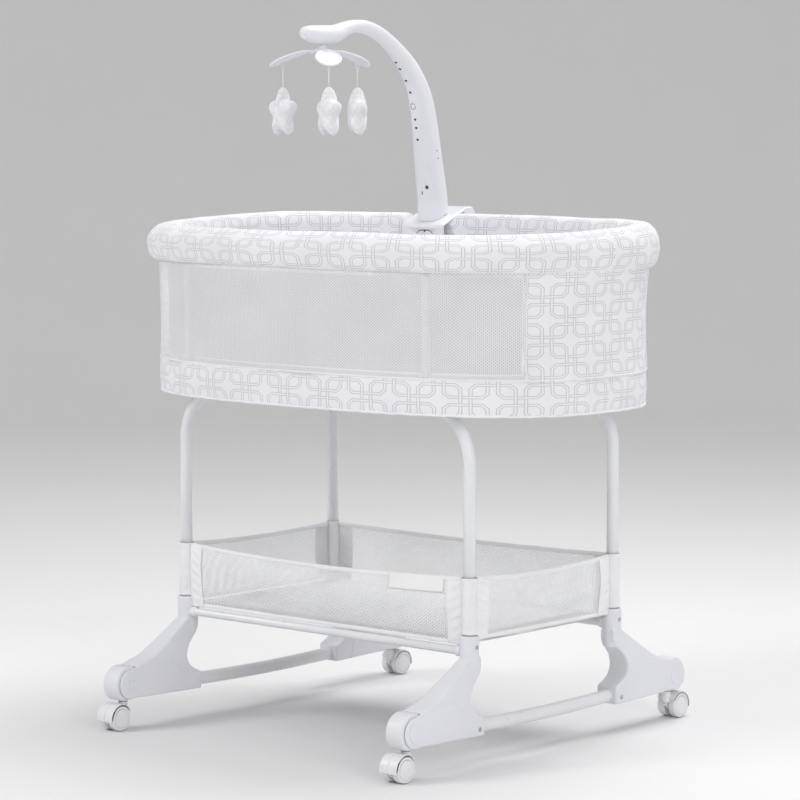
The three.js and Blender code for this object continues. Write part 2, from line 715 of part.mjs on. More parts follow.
// Stuffed star that hangs from its top point, turned on its string.
function plushStar(turn) {
  const shape = new THREE.Shape();
  const tips = 5;
  for (let i = 0; i < 2 * tips; i += 1) {
    const angle = Math.PI / 2 + i * Math.PI / tips;
    const r = i % 2 ? STAR_NOTCH : STAR_TIP;
    shape[i ? "lineTo" : "moveTo"](r * Math.cos(angle) * STAR_NARROWING, r * Math.sin(angle));
  }
  shape.closePath();
  const middle = STRING_TOP - STRING_LENGTH - GAP - STAR_TIP;
  return slab(shape, 24, 6).rotateZ(THREE.MathUtils.degToRad(turn)).translate(STRING_RADIUS, 0, middle);
}

function mobileButton() {
  return alongY(BUTTON_RADIUS, BUTTON_Y, BUTTON_Y + 7.5, 10).translate(BUTTON_X, 0, BUTTON_Z);
}

function clampKnob() {
  const face = ovalHalfWidthAt(MOBILE_X + CLAMP_HALF_WIDTH, 438) + 32;
  return carved([
    alongY(12, face, face + 12, 10),
    alongY(KNOB_SCREW_RADIUS, face - 24, face + 1, 10),
  ], []).translate(MOBILE_X, 0, KNOB_Z);
}

function buildMobile() {
  place(bassinet, "mobile_clamp", mobileClamp(), PLASTIC);
  place(bassinet, "mobile_arm", mobileArm(), PLASTIC);
  place(bassinet, "clamp_knob", clampKnob(), PLASTIC);
  place(bassinet, "mobile_button", mobileButton(), PLASTIC);
  place(bassinet, "mobile_hub", mobileHub(), PLASTIC);
  for (let i = 0; i < PETALS; i += 1) {
    const turned = new THREE.Group();
    turned.position.set(MOBILE_X, HUB_Y, 0);
    turned.rotation.z = THREE.MathUtils.degToRad(PETAL_FIRST_ANGLE + i * 360 / PETALS);
    bassinet.add(turned);
    place(turned, `mobile_petal_${i + 1}`, petal(), PLASTIC);
    place(turned, `toy_string_${i + 1}`, toyString(), CLOTH);
    place(turned, `plush_star_${i + 1}`, plushStar(STAR_TURNS[i]), CLOTH);
  }
}

buildStand();
buildCribFrame();
buildCribCovers();
buildBasket();
buildMobile();

export default bassinet;
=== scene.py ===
"""Looks of the bassinet on its stand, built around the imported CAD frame. Metres, +Z up."""
import math

import bpy
import numpy as np
from mathutils import Matrix, Vector, noise


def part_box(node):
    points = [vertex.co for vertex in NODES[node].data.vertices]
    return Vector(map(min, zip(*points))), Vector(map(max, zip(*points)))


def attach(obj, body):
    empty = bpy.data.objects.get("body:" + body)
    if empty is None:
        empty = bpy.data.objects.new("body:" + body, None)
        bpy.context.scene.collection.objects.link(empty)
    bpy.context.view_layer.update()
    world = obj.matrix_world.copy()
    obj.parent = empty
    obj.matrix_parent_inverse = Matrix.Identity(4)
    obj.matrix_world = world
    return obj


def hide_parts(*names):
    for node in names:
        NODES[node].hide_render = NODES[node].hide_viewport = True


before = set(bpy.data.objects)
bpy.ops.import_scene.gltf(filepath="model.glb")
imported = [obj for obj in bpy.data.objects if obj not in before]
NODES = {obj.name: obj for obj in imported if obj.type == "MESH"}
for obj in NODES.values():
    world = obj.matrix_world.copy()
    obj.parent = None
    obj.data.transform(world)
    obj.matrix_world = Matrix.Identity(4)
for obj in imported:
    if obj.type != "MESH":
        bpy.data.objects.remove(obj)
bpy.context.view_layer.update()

CORNERS = [("front_left", -1, -1), ("front_right", 1, -1), ("back_left", -1, 1), ("back_right", 1, 1)]

# ---- sizes read from the frame ------------------------------------------------------------------
leg_low, leg_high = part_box("leg_frame_front")
LEG_R = (leg_high.y - leg_low.y) / 2 / math.cos(math.radians(15))
POST_X = leg_high.x - LEG_R * math.cos(math.radians(15))
POST_Y = -(leg_high.y + leg_low.y) / 2
LEG_TOP = leg_high.z - LEG_R
LEG_BEND = 0.085
foot_low, foot_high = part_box("foot_back_right")
FOOT_HALF = (foot_high.x - foot_low.x) / 2
SOCKET_TOP = foot_high.z
pivot_low, pivot_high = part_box("wheel_pivot_back_right")
DRUM_Y = (pivot_low.y + pivot_high.y) / 2
DRUM_Z = (pivot_low.z + pivot_high.z) / 2
wheel_low, wheel_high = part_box("wheel_back_right_a")
WHEEL_R = wheel_high.z / 2
WHEEL_Y = (wheel_low.y + wheel_high.y) / 2
rim_low, rim_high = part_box("rim_pad")
BAND_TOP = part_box("lower_band")[1].z
basket_low, basket_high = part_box("storage_basket")
bar_low, bar_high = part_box("cross_bar_front")
BAR_Z = (bar_low.z + bar_high.z) / 2
hub_low, hub_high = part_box("mobile_hub")
HUB_X = (hub_low.x + hub_high.x) / 2
HUB_Y = (hub_low.y + hub_high.y) / 2

OVAL_POWER = 2.7
RIM_POWER = 2.9  # the stuffed rim stands a little squarer
RIM_SAG_ENDS = 0.0050  # the rim's top sinks by this much at the ends
RIM_SAG_FRONT = 0.0075  # and by this much more along the front
CLAMP_LID = 0.0055  # thickness of the mobile's sloping clamp plate
OVAL_DIFFERENCE = rim_high.x - rim_high.y  # half length minus half width, all the way up
AROUND = 640  # points round the crib's oval


# ---- node material helpers ----------------------------------------------------------------------
class Graph:
    """A material's node tree, with short calls for the nodes used here."""

    def __init__(self, name):
        self.material = bpy.data.materials.new(name)
        self.material.use_nodes = True
        self.tree = self.material.node_tree
        self.shader = self.tree.nodes["Principled BSDF"]
        self.output = self.tree.nodes["Material Output"]

    def node(self, kind, **inputs):
        made = self.tree.nodes.new(kind)
        for key, value in inputs.items():
            if hasattr(made, key) and key not in made.inputs:
                setattr(made, key, value)
            else:
                self.link(value, made.inputs[key])
        return made

    def link(self, value, socket):
        if isinstance(value, bpy.types.NodeSocket):
            self.tree.links.new(value, socket)
        else:
            socket.default_value = value

    def math(self, operation, a, b=0.0, c=0.0):
        made = self.tree.nodes.new("ShaderNodeMath")
        made.operation = operation
        for socket, value in zip(made.inputs, (a, b, c)):
            self.link(value, socket)
        return made.outputs[0]

    def mix(self, factor, a, b):
        made = self.tree.nodes.new("ShaderNodeMix")
        made.data_type = "RGBA"
        self.link(factor, made.inputs["Factor"])
        self.link(a, made.inputs[6])
        self.link(b, made.inputs[7])
        return made.outputs[2]

    def smooth(self, value, low, high, to_low=0.0, to_high=1.0):
        made = self.tree.nodes.new("ShaderNodeMapRange")
        made.interpolation_type = "SMOOTHSTEP"
        for key, number in (("From Min", low), ("From Max", high), ("To Min", to_low), ("To Max", to_high)):
            made.inputs[key].default_value = number
        self.link(value, made.inputs["Value"])
        return made.outputs[0]

    def noise(self, vector, scale, detail=2.0, rough=0.5):
        made = self.tree.nodes.new("ShaderNodeTexNoise")
        made.inputs["Scale"].default_value = scale
        made.inputs["Detail"].default_value = detail
        made.inputs["Roughness"].default_value = rough
        self.link(vector, made.inputs["Vector"])
        return made.outputs["Fac"]

    def bump(self, height, strength, distance, normal=None):
        made = self.tree.nodes.new("ShaderNodeBump")
        made.inputs["Strength"].default_value = strength
        made.inputs["Distance"].default_value = distance
        self.link(height, made.inputs["Height"])
        if normal is not None:
            self.link(normal, made.inputs["Normal"])
        return made.outputs[0]

    def place(self):
        return self.tree.nodes.new("ShaderNodeTexCoord").outputs["Object"]

    def flat_place(self):
        """(u, v): metres along the cloth and across it, from the piece's own map."""
        split = self.tree.nodes.new("ShaderNodeSeparateXYZ")
        self.link(self.tree.nodes.new("ShaderNodeTexCoord").outputs["UV"], split.inputs[0])
        return split.outputs[0], split.outputs[1]

    def set(self, **values):
        for key, value in values.items():
            self.link(value, self.shader.inputs[key.replace("_", " ")])


def rgba(r, g, b):
    return (r, g, b, 1.0)


def plastic(name, colour, shade, roughness, grain, coat=0.0):
    """Moulded or painted surface: faint colour drift, orange peel and scuffs in the roughness."""
    g = Graph(name)
    place = g.place()
    drift = g.noise(place, 9.0, 3.0)
    g.set(Base_Color=g.mix(g.smooth(drift, 0.35, 0.7), colour, shade))
    fine = g.noise(place, grain, 2.0)
    scuff = g.noise(place, 60.0, 4.0, 0.65)
    g.set(Roughness=g.smooth(scuff, 0.3, 0.8, roughness - 0.05, roughness + 0.08))
    g.set(Normal=g.bump(fine, 0.12, 0.0004), Specular_IOR_Level=0.5)
    g.shader.inputs["Coat Weight"].default_value = coat
    g.shader.inputs["Coat Roughness"].default_value = 0.15
    return g.material


def weave_height(g, u, v, pitch):
    """Plain weave: two crossed sets of threads, over and under."""
    turn = 2 * math.pi / pitch
    warp = g.math("SINE", g.math("MULTIPLY", u, turn))
    weft = g.math("SINE", g.math("MULTIPLY", v, turn))
    return g.math("MULTIPLY_ADD", g.math("MULTIPLY", warp, weft), 0.5, 0.5)


LINK_LONG = 0.0415  # one link of the print along the cloth
LINK_TALL = 0.030
LINK_EDGE = 0.19  # strands beside each crossing, in links
LINK_CUT = 0.42
STRAND = 0.115
LINE = 0.031


def link_print(g, u, v):
    """Mask of the cloth's print: strands drawn as double lines that weave over and under into links."""
    x = g.math("DIVIDE", u, LINK_LONG)
    y = g.math("DIVIDE", v, LINK_TALL)

    def centred(value, shift):
        half = g.math("ADD", g.math("MULTIPLY", value, 0.5), shift)
        return g.math("MULTIPLY", g.math("SUBTRACT", g.math("FRACT", half), 0.5), 2.0)

    xa, ya = centred(x, 0.5), centred(y, 0.5)
    xb, yb = centred(x, 0.0), centred(y, 0.0)
    size_a = g.math("ADD", g.math("ABSOLUTE", xa), g.math("ABSOLUTE", ya))
    use_a = g.math("LESS_THAN", size_a, 1.0)

    def pick(a, b):
        return g.math("MULTIPLY_ADD", g.math("SUBTRACT", a, b), use_a, b)

    dx, dy = pick(xa, xb), pick(ya, yb)
    ax, ay = g.math("ABSOLUTE", dx), g.math("ABSOLUTE", dy)

    def strand(across, along):
        straight = g.math("SUBTRACT", LINK_EDGE, across)
        slant = g.math("MULTIPLY", g.math("SUBTRACT", g.math("SUBTRACT", along, across), LINK_CUT), 0.7071)
        away = g.math("ABSOLUTE", g.math("MAXIMUM", straight, slant))
        inside = g.math("LESS_THAN", away, STRAND / 2 + LINE / 2)
        edge = g.math("ABSOLUTE", g.math("SUBTRACT", away, STRAND / 2))
        return g.smooth(edge, LINE * 0.35, LINE * 0.85, 1.0, 0.0), inside

    line_v, inside_v = strand(ax, ay)
    line_h, inside_h = strand(ay, ax)
    over_h = g.math("LESS_THAN", 0.0, g.math("MULTIPLY", dx, dy))
    under_h = g.math("SUBTRACT", 1.0, over_h)
    shown_v = g.math("MULTIPLY", line_v, g.math("SUBTRACT", 1.0, g.math("MULTIPLY", inside_h, over_h)))
    shown_h = g.math("MULTIPLY", line_h, g.math("SUBTRACT", 1.0, g.math("MULTIPLY", inside_v, under_h)))
    return g.math("MAXIMUM", shown_v, shown_h)


def cloth_base(g, colour, shade, height, depth):
    """Woven matt cloth: soft colour drift, thread relief and a fuzzy edge sheen."""
    place = g.place()
    drift = g.noise(place, 14.0, 4.0)
    g.set(Roughness=0.92, Specular_IOR_Level=0.2, Sheen_Weight=0.25, Sheen_Roughness=0.5)
    soft = g.bump(g.noise(place, 220.0, 3.0), 0.25, 0.0006)
    g.set(Normal=g.bump(height, 0.35, depth, soft))
    return g.mix(g.smooth(drift, 0.3, 0.7), colour, shade)


def print_cloth():
    g = Graph("print_cloth")
    u, v = g.flat_place()
    weave = weave_height(g, u, v, 0.0011)
    base = cloth_base(g, rgba(0.84, 0.84, 0.875), rgba(0.80, 0.80, 0.84), weave, 0.0003)
    mask = g.math("MULTIPLY", link_print(g, u, v), 0.8)
    g.set(Base_Color=g.mix(mask, base, rgba(0.50, 0.50, 0.535)))
    return g.material


def plain_cloth(name, colour, shade, pitch=0.0012):
    g = Graph(name)
    u, v = g.flat_place()
    g.set(Base_Color=cloth_base(g, colour, shade, weave_height(g, u, v, pitch), 0.0004))
    return g.material


def mesh_cloth(name, pitch, hole, colour, shade):
    """Knitted net: staggered open holes, so what is behind shows through."""
    g = Graph(name)
    u, v = g.flat_place()
    x = g.math("DIVIDE", u, pitch)
    y = g.math("DIVIDE", v, pitch * 0.72)

    def lobe(shift):
        a = g.math("SUBTRACT", g.math("FRACT", g.math("ADD", x, shift)), 0.5)
        b = g.math("SUBTRACT", g.math("FRACT", g.math("ADD", y, shift)), 0.5)
        return g.math("ADD", g.math("ABSOLUTE", a), g.math("MULTIPLY", g.math("ABSOLUTE", b), 0.8))

    away = g.math("MINIMUM", lobe(0.0), lobe(0.5))
    solid = g.smooth(away, hole * 0.85, hole * 1.1)
    base = cloth_base(g, colour, shade, away, 0.0006)
    g.set(Base_Color=base, Alpha=solid)
    return g.material


def plush_cloth():
    g = Graph("plush_cloth")
    place = g.place()
    pile = g.noise(place, 900.0, 3.0, 0.7)
    tuft = g.noise(place, 260.0, 3.0, 0.6)
    colour = g.mix(g.smooth(tuft, 0.3, 0.7), rgba(0.90, 0.90, 0.92), rgba(0.76, 0.76, 0.80))
    g.set(Base_Color=colour, Roughness=1.0, Specular_IOR_Level=0.1, Sheen_Weight=0.6, Sheen_Roughness=0.6)
    g.set(Normal=g.bump(pile, 0.5, 0.0012, g.bump(tuft, 0.5, 0.002)))
    return g.material


def metal(name, colour, roughness):
    g = Graph(name)
    place = g.place()
    g.set(Base_Color=g.mix(g.noise(place, 300.0), colour, rgba(0.35, 0.35, 0.36)), Metallic=1.0)
    g.set(Roughness=g.smooth(g.noise(place, 900.0), 0.3, 0.7, roughness, roughness + 0.15))
    return g.material


def board(name, colour, shade):
    g = Graph(name)
    place = g.place()
    fibre = g.noise(place, 120.0, 5.0, 0.7)
    g.set(Base_Color=g.mix(g.smooth(fibre, 0.3, 0.7), colour, shade), Roughness=0.75)
    g.set(Normal=g.bump(fibre, 0.15, 0.0004))
    return g.material


def dark_mark():
    g = Graph("dark_mark")
    place = g.place()
    g.set(Base_Color=g.mix(g.noise(place, 400.0), rgba(0.035, 0.035, 0.04), rgba(0.07, 0.07, 0.075)))
    g.set(Roughness=0.45)
    return g.material


PAINT = plastic("painted_tube", rgba(0.80, 0.805, 0.825), rgba(0.77, 0.775, 0.80), 0.32, 900.0, 0.25)
MOULDED = plastic("moulded_plastic", rgba(0.775, 0.775, 0.825), rgba(0.75, 0.75, 0.80), 0.42, 1400.0)
CASTER = plastic("caster_plastic", rgba(0.82, 0.815, 0.84), rgba(0.79, 0.785, 0.81), 0.30, 1100.0, 0.15)
MOBILE = plastic("mobile_plastic", rgba(0.80, 0.80, 0.845), rgba(0.78, 0.78, 0.825), 0.34, 1200.0, 0.1)
PRINT = print_cloth()
PLAIN = plain_cloth("plain_cloth", rgba(0.86, 0.86, 0.885), rgba(0.82, 0.82, 0.85))
# Liner colour is darker than the cloth's own white: painted shade for the dim inside seen through the net's
# holes.
LINER_PAINTED_SHADE = plain_cloth("liner_cloth_painted_shade", rgba(0.66, 0.665, 0.70), rgba(0.62, 0.625, 0.66))
BINDING = plain_cloth("binding_cloth", rgba(0.88, 0.88, 0.90), rgba(0.84, 0.84, 0.865), 0.0016)
WALL_NET = mesh_cloth("wall_net", 0.0060, 0.25, rgba(0.86, 0.86, 0.88), rgba(0.82, 0.82, 0.845))
BASKET_NET = mesh_cloth("basket_net", 0.0068, 0.27, rgba(0.88, 0.88, 0.895), rgba(0.84, 0.84, 0.86))
PLUSH = plush_cloth()
STRING = plain_cloth("string_cloth", rgba(0.88, 0.88, 0.89), rgba(0.80, 0.80, 0.82), 0.0006)
STEEL = metal("zinc_screw", rgba(0.62, 0.62, 0.64), 0.25)
HARDBOARD = board("white_board", rgba(0.80, 0.80, 0.80), rgba(0.74, 0.74, 0.745))
DARK = dark_mark()
LABEL = plain_cloth("label_cloth", rgba(0.90, 0.90, 0.90), rgba(0.87, 0.87, 0.87), 0.0009)


# ---- mesh helpers -------------------------------------------------------------------------------
def finish_piece(obj, material, body, replaces=()):
    obj.data.materials.append(material)
    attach(obj, body)
    if replaces:
        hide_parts(*replaces)
    return obj


def add_mesh(name, verts, faces, uvs=None, smooth=True):
    mesh = bpy.data.meshes.new(name)
    mesh.from_pydata([tuple(v) for v in verts], [], faces)
    if uvs is not None:
        layer = mesh.uv_layers.new(name="map")
        flat = np.array([uvs[f][k] for f in range(len(faces)) for k in range(len(faces[f]))], np.float32)
        layer.data.foreach_set("uv", flat.ravel())
    mesh.polygons.foreach_set("use_smooth", [smooth] * len(mesh.polygons))
    obj = bpy.data.objects.new(name, mesh)
    bpy.context.scene.collection.objects.link(obj)
    return obj


def grid(name, points, u, v, wrap_u=False, wrap_v=False, caps=False):
    """Quads over points[row][column]; u per column and v per row, in metres, become the map.
    A wrapped axis needs one more u or v than it has points."""
    rows, cols = points.shape[:2]
    faces, uvs = [], []
    for i in range(rows if wrap_v else rows - 1):
        for j in range(cols if wrap_u else cols - 1):
            i2, j2 = (i + 1) % rows, (j + 1) % cols
            faces.append((i * cols + j, i * cols + j2, i2 * cols + j2, i2 * cols + j))
            uvs.append(((u[j], v[i]), (u[j + 1], v[i]), (u[j + 1], v[i + 1]), (u[j], v[i + 1])))
    if caps:
        faces.append(tuple(range(cols))[::-1])
        uvs.append([(points[0][j][0], points[0][j][1]) for j in range(cols)][::-1])
        faces.append(tuple((rows - 1) * cols + j for j in range(cols)))
        uvs.append([(points[-1][j][0], points[-1][j][1]) for j in range(cols)])
    return add_mesh(name, points.reshape(-1, 3), faces, uvs)


def frames_along(points, closed, up):
    """Unit side vectors at each point of a route, turning as little as possible."""
    count = len(points)
    tangents = []
    for i in range(count):
        ahead = points[(i + 1) % count] if closed or i + 1 < count else points[i]
        behind = points[i - 1] if closed or i > 0 else points[i]
        tangents.append((ahead - behind).normalized())
    side = tangents[0].cross(Vector(up))
    if side.length < 1e-3:
        side = tangents[0].cross(Vector((1, 0.3, 0)))
    out = []
    for t in tangents:
        side = (side - t * side.dot(t)).normalized()
        out.append((side, t.cross(side)))
    return out


def tube(name, points, radius, sides=24, closed=False, flat=1.0, up=(0, 0, 1), taper=None):
    """Round (or flattened) tube along a route, with flat end caps when open."""
    points = [Vector(p) for p in points]
    sides_of = frames_along(points, closed, up)
    rings, v, run = [], [], 0.0
    for i, (p, (a, b)) in enumerate(zip(points, sides_of)):
        scale = radius * (taper[i] if taper is not None else 1.0)
        ring = []
        for k in range(sides):
            t = 2 * math.pi * k / sides
            ring.append(p + a * math.cos(t) * scale * flat + b * math.sin(t) * scale)
        rings.append(ring)
        if i:
            run += (p - points[i - 1]).length
        v.append(run)
    if closed:
        v.append(run + (points[0] - points[-1]).length)
    u = [2 * math.pi * radius * k / sides for k in range(sides + 1)]
    data = np.array([[tuple(q) for q in ring] for ring in rings])
    return grid(name, data, u, v, wrap_u=True, wrap_v=closed, caps=not closed)


def lathe(name, profile, centre, axis="x", sides=48):
    """Turns (radius, along) points round an axis through centre."""
    rings = []
    for r, along in profile:
        ring = []
        for k in range(sides):
            t = 2 * math.pi * k / sides
            a, b = r * math.cos(t), r * math.sin(t)
            offset = {"x": (along, a, b), "y": (b, along, a), "z": (a, b, along)}[axis]
            ring.append([centre[i] + offset[i] for i in range(3)])
        rings.append(ring)
    steps = [0.0]
    for (r0, a0), (r1, a1) in zip(profile, profile[1:]):
        steps.append(steps[-1] + math.hypot(r1 - r0, a1 - a0))
    u = [0.05 * k / sides for k in range(sides + 1)]
    obj = grid(name, np.array(rings), u, steps, wrap_u=True, caps=True)
    return obj


def rod(radius, bottom, top, core=0.0001):
    """Lathe profile of a plain round bar."""
    return [(core, bottom), (radius, bottom), (radius, top), (core, top)]


def rounded(profile, radius, steps=5):
    """Rounds the corners of an open (r, along) profile."""
    out = [profile[0]]
    for before, here, after in zip(profile, profile[1:], profile[2:]):
        h = Vector(here)
        a, b = Vector(before) - h, Vector(after) - h
        cut = min(radius, a.length * 0.45, b.length * 0.45)
        start, end = h + a.normalized() * cut, h + b.normalized() * cut
        for i in range(steps + 1):
            t = i / steps
            out.append(tuple(start * (1 - t) ** 2 + h * 2 * t * (1 - t) + end * t * t))
    out.append(profile[-1])
    return out


def modify(obj, kind, **settings):
    made = obj.modifiers.new(kind.lower(), kind)
    for key, value in settings.items():
        setattr(made, key, value)
    return made


def apply_modifiers(obj):
    depsgraph = bpy.context.evaluated_depsgraph_get()
    mesh = bpy.data.meshes.new_from_object(obj.evaluated_get(depsgraph))
    obj.modifiers.clear()
    obj.data = mesh
    mesh.polygons.foreach_set("use_smooth", [True] * len(mesh.polygons))
    return obj


def extrude(name, outline, half, bevel=0.002, axis="x", centre=(0, 0, 0), segments=4):
    """Prism of an outline of (a, b) points: along x it is (y, z), along y (x, z), along z (x, y)."""
    count = len(outline)
    verts = []
    for side in (-half, half):
        for a, b in outline:
            offset = {"x": (side, a, b), "y": (a, side, b), "z": (a, b, side)}[axis]
            verts.append([centre[i] + offset[i] for i in range(3)])
    faces = [tuple(range(count)), tuple(range(2 * count - 1, count - 1, -1))]
    for k in range(count):
        k2 = (k + 1) % count
        faces.append((k2, k, count + k, count + k2))
    obj = add_mesh(name, verts, faces, smooth=False)
    fix_normals(obj)
    if bevel:
        modify(obj, "BEVEL", width=bevel, segments=segments, limit_method="ANGLE", angle_limit=0.6)
        modify(obj, "WEIGHTED_NORMAL", keep_sharp=True)
        obj.data.polygons.foreach_set("use_smooth", [True] * len(obj.data.polygons))
    return obj


def fix_normals(obj):
    import bmesh
    bm = bmesh.new()
    bm.from_mesh(obj.data)
    bmesh.ops.recalc_face_normals(bm, faces=bm.faces)
    bm.to_mesh(obj.data)
    bm.free()


def arc(centre, radius, start, end, steps=16):
    """Points of an arc in a plane, angles in degrees."""
    out = []
    for i in range(steps + 1):
        t = math.radians(start + (end - start) * i / steps)
        out.append((centre[0] + radius * math.cos(t), centre[1] + radius * math.sin(t)))
    return out


def curve(a, b, c, d, steps=12):
    """Points of a cubic curve with the two inner control points b and c."""
    out = []
    for i in range(steps + 1):
        t = i / steps
        w = ((1 - t) ** 3, 3 * t * (1 - t) ** 2, 3 * t * t * (1 - t), t ** 3)
        out.append(tuple(sum(k * p[n] for k, p in zip(w, (a, b, c, d))) for n in (0, 1)))
    return out


def remove(*objs):
    for o in objs:
        bpy.data.objects.remove(o, do_unlink=True)


def cut(obj, *others):
    for o in others:
        modify(obj, "BOOLEAN", operation="DIFFERENCE", object=o, solver="EXACT")
    apply_modifiers(obj)
    remove(*others)
    return obj


def join(obj, *others):
    """Adds the others' faces to obj, in the row frame."""
    import bmesh
    bm = bmesh.new()
    bm.from_mesh(obj.data)
    for o in others:
        mesh = o.data.copy()
        mesh.transform(o.matrix_world)
        bm.from_mesh(mesh)
    bm.to_mesh(obj.data)
    bm.free()
    remove(*others)
    return obj


def vertices(obj):
    co = np.empty(len(obj.data.vertices) * 3, np.float32)
    obj.data.vertices.foreach_get("co", co)
    return co.reshape(-1, 3)


def set_vertices(obj, co):
    obj.data.vertices.foreach_set("co", np.asarray(co, np.float32).ravel())
    obj.data.update()


def copy_of(obj, name, matrix):
    made = bpy.data.objects.new(name, obj.data)
    made.matrix_world = matrix
    bpy.context.scene.collection.objects.link(made)
    return made


def corner_matrix(sx, sy):
    turn = 0.0 if sy > 0 else math.pi
    return Matrix.Translation((sx * POST_X, 0, 0)) @ Matrix.Rotation(turn, 4, "Z")


def ease(value, low, high):
    t = np.clip((value - low) / (high - low), 0, 1)
    return t * t * (3 - 2 * t)


# ---- ovals of the crib --------------------------------------------------------------------------
def oval_at(angles, half, power=OVAL_POWER):
    """Points of the crib's plan, a superellipse that is narrower than long by the same amount all the way up."""
    c, s = np.cos(angles), np.sin(angles)
    x = half * np.sign(c) * np.abs(c) ** (2 / power)
    y = (half - OVAL_DIFFERENCE) * np.sign(s) * np.abs(s) ** (2 / power)
    return np.stack([x, y], -1)


def even_angles(half, count):
    """Angles that step evenly along the oval, and its length."""
    dense = np.linspace(0, 2 * np.pi, 40001)
    p = oval_at(dense, half)
    run = np.concatenate([[0], np.cumsum(np.linalg.norm(np.diff(p, axis=0), axis=1))])
    return np.interp(np.linspace(0, run[-1], count + 1)[:-1], run, dense), run[-1]


OVAL_ANGLES, OVAL_LENGTH = even_angles(0.427, AROUND)
OVAL_RUN = np.linspace(0, OVAL_LENGTH, AROUND + 1)


def oval_rows(profile, power=OVAL_POWER):
    """points[row][column] for a profile of (half length, z)."""
    rows = []
    for half, z in profile:
        p = oval_at(OVAL_ANGLES, half, power)
        rows.append(np.column_stack([p, np.full(AROUND, z)]))
    return np.array(rows)


def outward(points):
    """Unit vectors pointing out of the oval, level, for rows from oval_rows."""
    along = np.roll(points, -1, axis=1) - np.roll(points, 1, axis=1)
    out = np.stack([along[..., 1], -along[..., 0], np.zeros_like(along[..., 0])], -1)
    return out / np.maximum(np.linalg.norm(out, axis=-1, keepdims=True), 1e-9)


def profile_run(profile):
    run = [0.0]
    for (a0, b0), (a1, b1) in zip(profile, profile[1:]):
        run.append(run[-1] + math.hypot(a1 - a0, b1 - b0))
    return run


def fine_profile(points, steps, closed=False):
    """Smooth curve through a few (half, z) points."""
    count = len(points)
    out = []
    segments = count if closed else count - 1
    for i in range(segments):
        def pick(k):
            return np.array(points[k % count] if closed else points[min(max(k, 0), count - 1)], float)
        p0, p1, p2, p3 = pick(i - 1), pick(i), pick(i + 1), pick(i + 2)
        for k in range(steps):
            t = k / steps
            out.append(tuple(0.5 * ((2 * p1) + (p2 - p0) * t + (2 * p0 - 5 * p1 + 4 * p2 - p3) * t * t
                                    + (3 * p1 - p0 - 3 * p2 + p3) * t ** 3)))
    if not closed:
        out.append(tuple(points[-1]))
    return out


def noise_field(points, scale, seed):
    flat = points.reshape(-1, 3)
    values = [noise.noise(Vector((p[0] * scale + seed, p[1] * scale, p[2] * scale - seed))) for p in flat]
    return np.array(values).reshape(points.shape[:-1])


# ---- camera and toy strings ---------------------------------------------------------------------
def camera():
    turn = math.radians(41.242)
    across = Vector((math.cos(turn), math.sin(turn), 0))
    towards = Vector((math.sin(turn), -math.cos(turn), 0))
    data = bpy.data.cameras.new("camera")
    data.sensor_width = 36
    data.lens = 143.67
    data.shift_y = -0.10
    obj = bpy.data.objects.new("camera", data)
    obj.location = towards * 5.0816 + across * 0.00496 + Vector((0, 0, 0.9909))
    obj.rotation_euler = (math.radians(90 - 3.844), 0, turn)
    bpy.context.scene.collection.objects.link(obj)
    bpy.context.scene.camera = obj


def toy_strings():
    for i in (1, 2, 3):
        low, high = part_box(f"toy_string_{i}")
        x, y = (low.x + high.x) / 2, (low.y + high.y) / 2
        data = bpy.data.curves.new(f"string_line_{i}", "CURVE")
        data.dimensions = "3D"
        data.bevel_depth = (high.x - low.x) / 2
        data.bevel_resolution = 4
        data.resolution_u = 8
        line = data.splines.new("BEZIER")
        count = 5
        line.bezier_points.add(count - 1)
        for k, point in enumerate(line.bezier_points):
            share = k / (count - 1)
            sway = 0.0007 * math.sin(math.pi * share * 2 + i) * math.sin(math.pi * share)
            point.co = (x + sway, y - sway, high.z + (low.z - high.z) * share)
            point.handle_left_type = point.handle_right_type = "AUTO"
        obj = bpy.data.objects.new(f"string_{i}_cord", data)
        bpy.context.scene.collection.objects.link(obj)
        finish_piece(obj, STRING, f"string_{i}", [f"toy_string_{i}"])
        bow(i)


# ---- stand --------------------------------------------------------------------------------------
def leg_frames():
    for name, sy in (("front", -1), ("back", 1)):
        points = [(-POST_X, sy * POST_Y, 0.151)]
        inner = POST_X - LEG_BEND
        for i in range(19):
            t = i / 18 * math.pi / 2
            points.append((-inner - LEG_BEND * math.cos(t), sy * POST_Y,
                           LEG_TOP - LEG_BEND + LEG_BEND * math.sin(t)))
        points += [(-x, y, z) for x, y, z in reversed(points)]
        obj = tube(f"leg_tube_{name}", points, LEG_R, 32, up=(0, 1, 0))
        finish_piece(obj, PAINT, "stand", [f"leg_frame_{name}"])


def rocker_rails():
    low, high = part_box("rocker_rail_right")
    radius = (high.x - low.x) / 2
    middle = (high.x + low.x) / 2
    for name, sx in (("left", -1), ("right", 1)):
        points = []
        for i in range(25):
            along = 2 * i / 24 - 1
            rise = high.z - radius - 0.004 * (1 - along * along)
            points.append((sx * middle, along * high.y, rise))
        obj = tube(f"rail_tube_{name}", points, radius, 32, up=(1, 0, 0))
        finish_piece(obj, PAINT, "stand", [f"rocker_rail_{name}"])


def cross_bars():
    half = bar_high.x
    radius = 0.0065
    cup = (bar_high.z - bar_low.z) / 2
    for name, sy in (("front", -1), ("back", 1)):
        start = half - 0.012
        profile = [(0.0001, -half), (cup - 0.001, -half), (cup, -half + 0.001), (cup, -start - 0.0015),
                   (cup - 0.0015, -start), (radius + 0.0004, -start + 0.0002), (radius, -start + 0.001),
                   (radius, start - 0.001), (radius + 0.0004, start - 0.0002), (cup - 0.0015, start),
                   (cup, start + 0.0015), (cup, half - 0.001), (cup - 0.001, half), (0.0001, half)]
        obj = lathe(f"bar_rod_{name}", profile, (0, sy * POST_Y, BAR_Z), "x", 32)
        finish_piece(obj, PAINT, "stand", [f"cross_bar_{name}"])


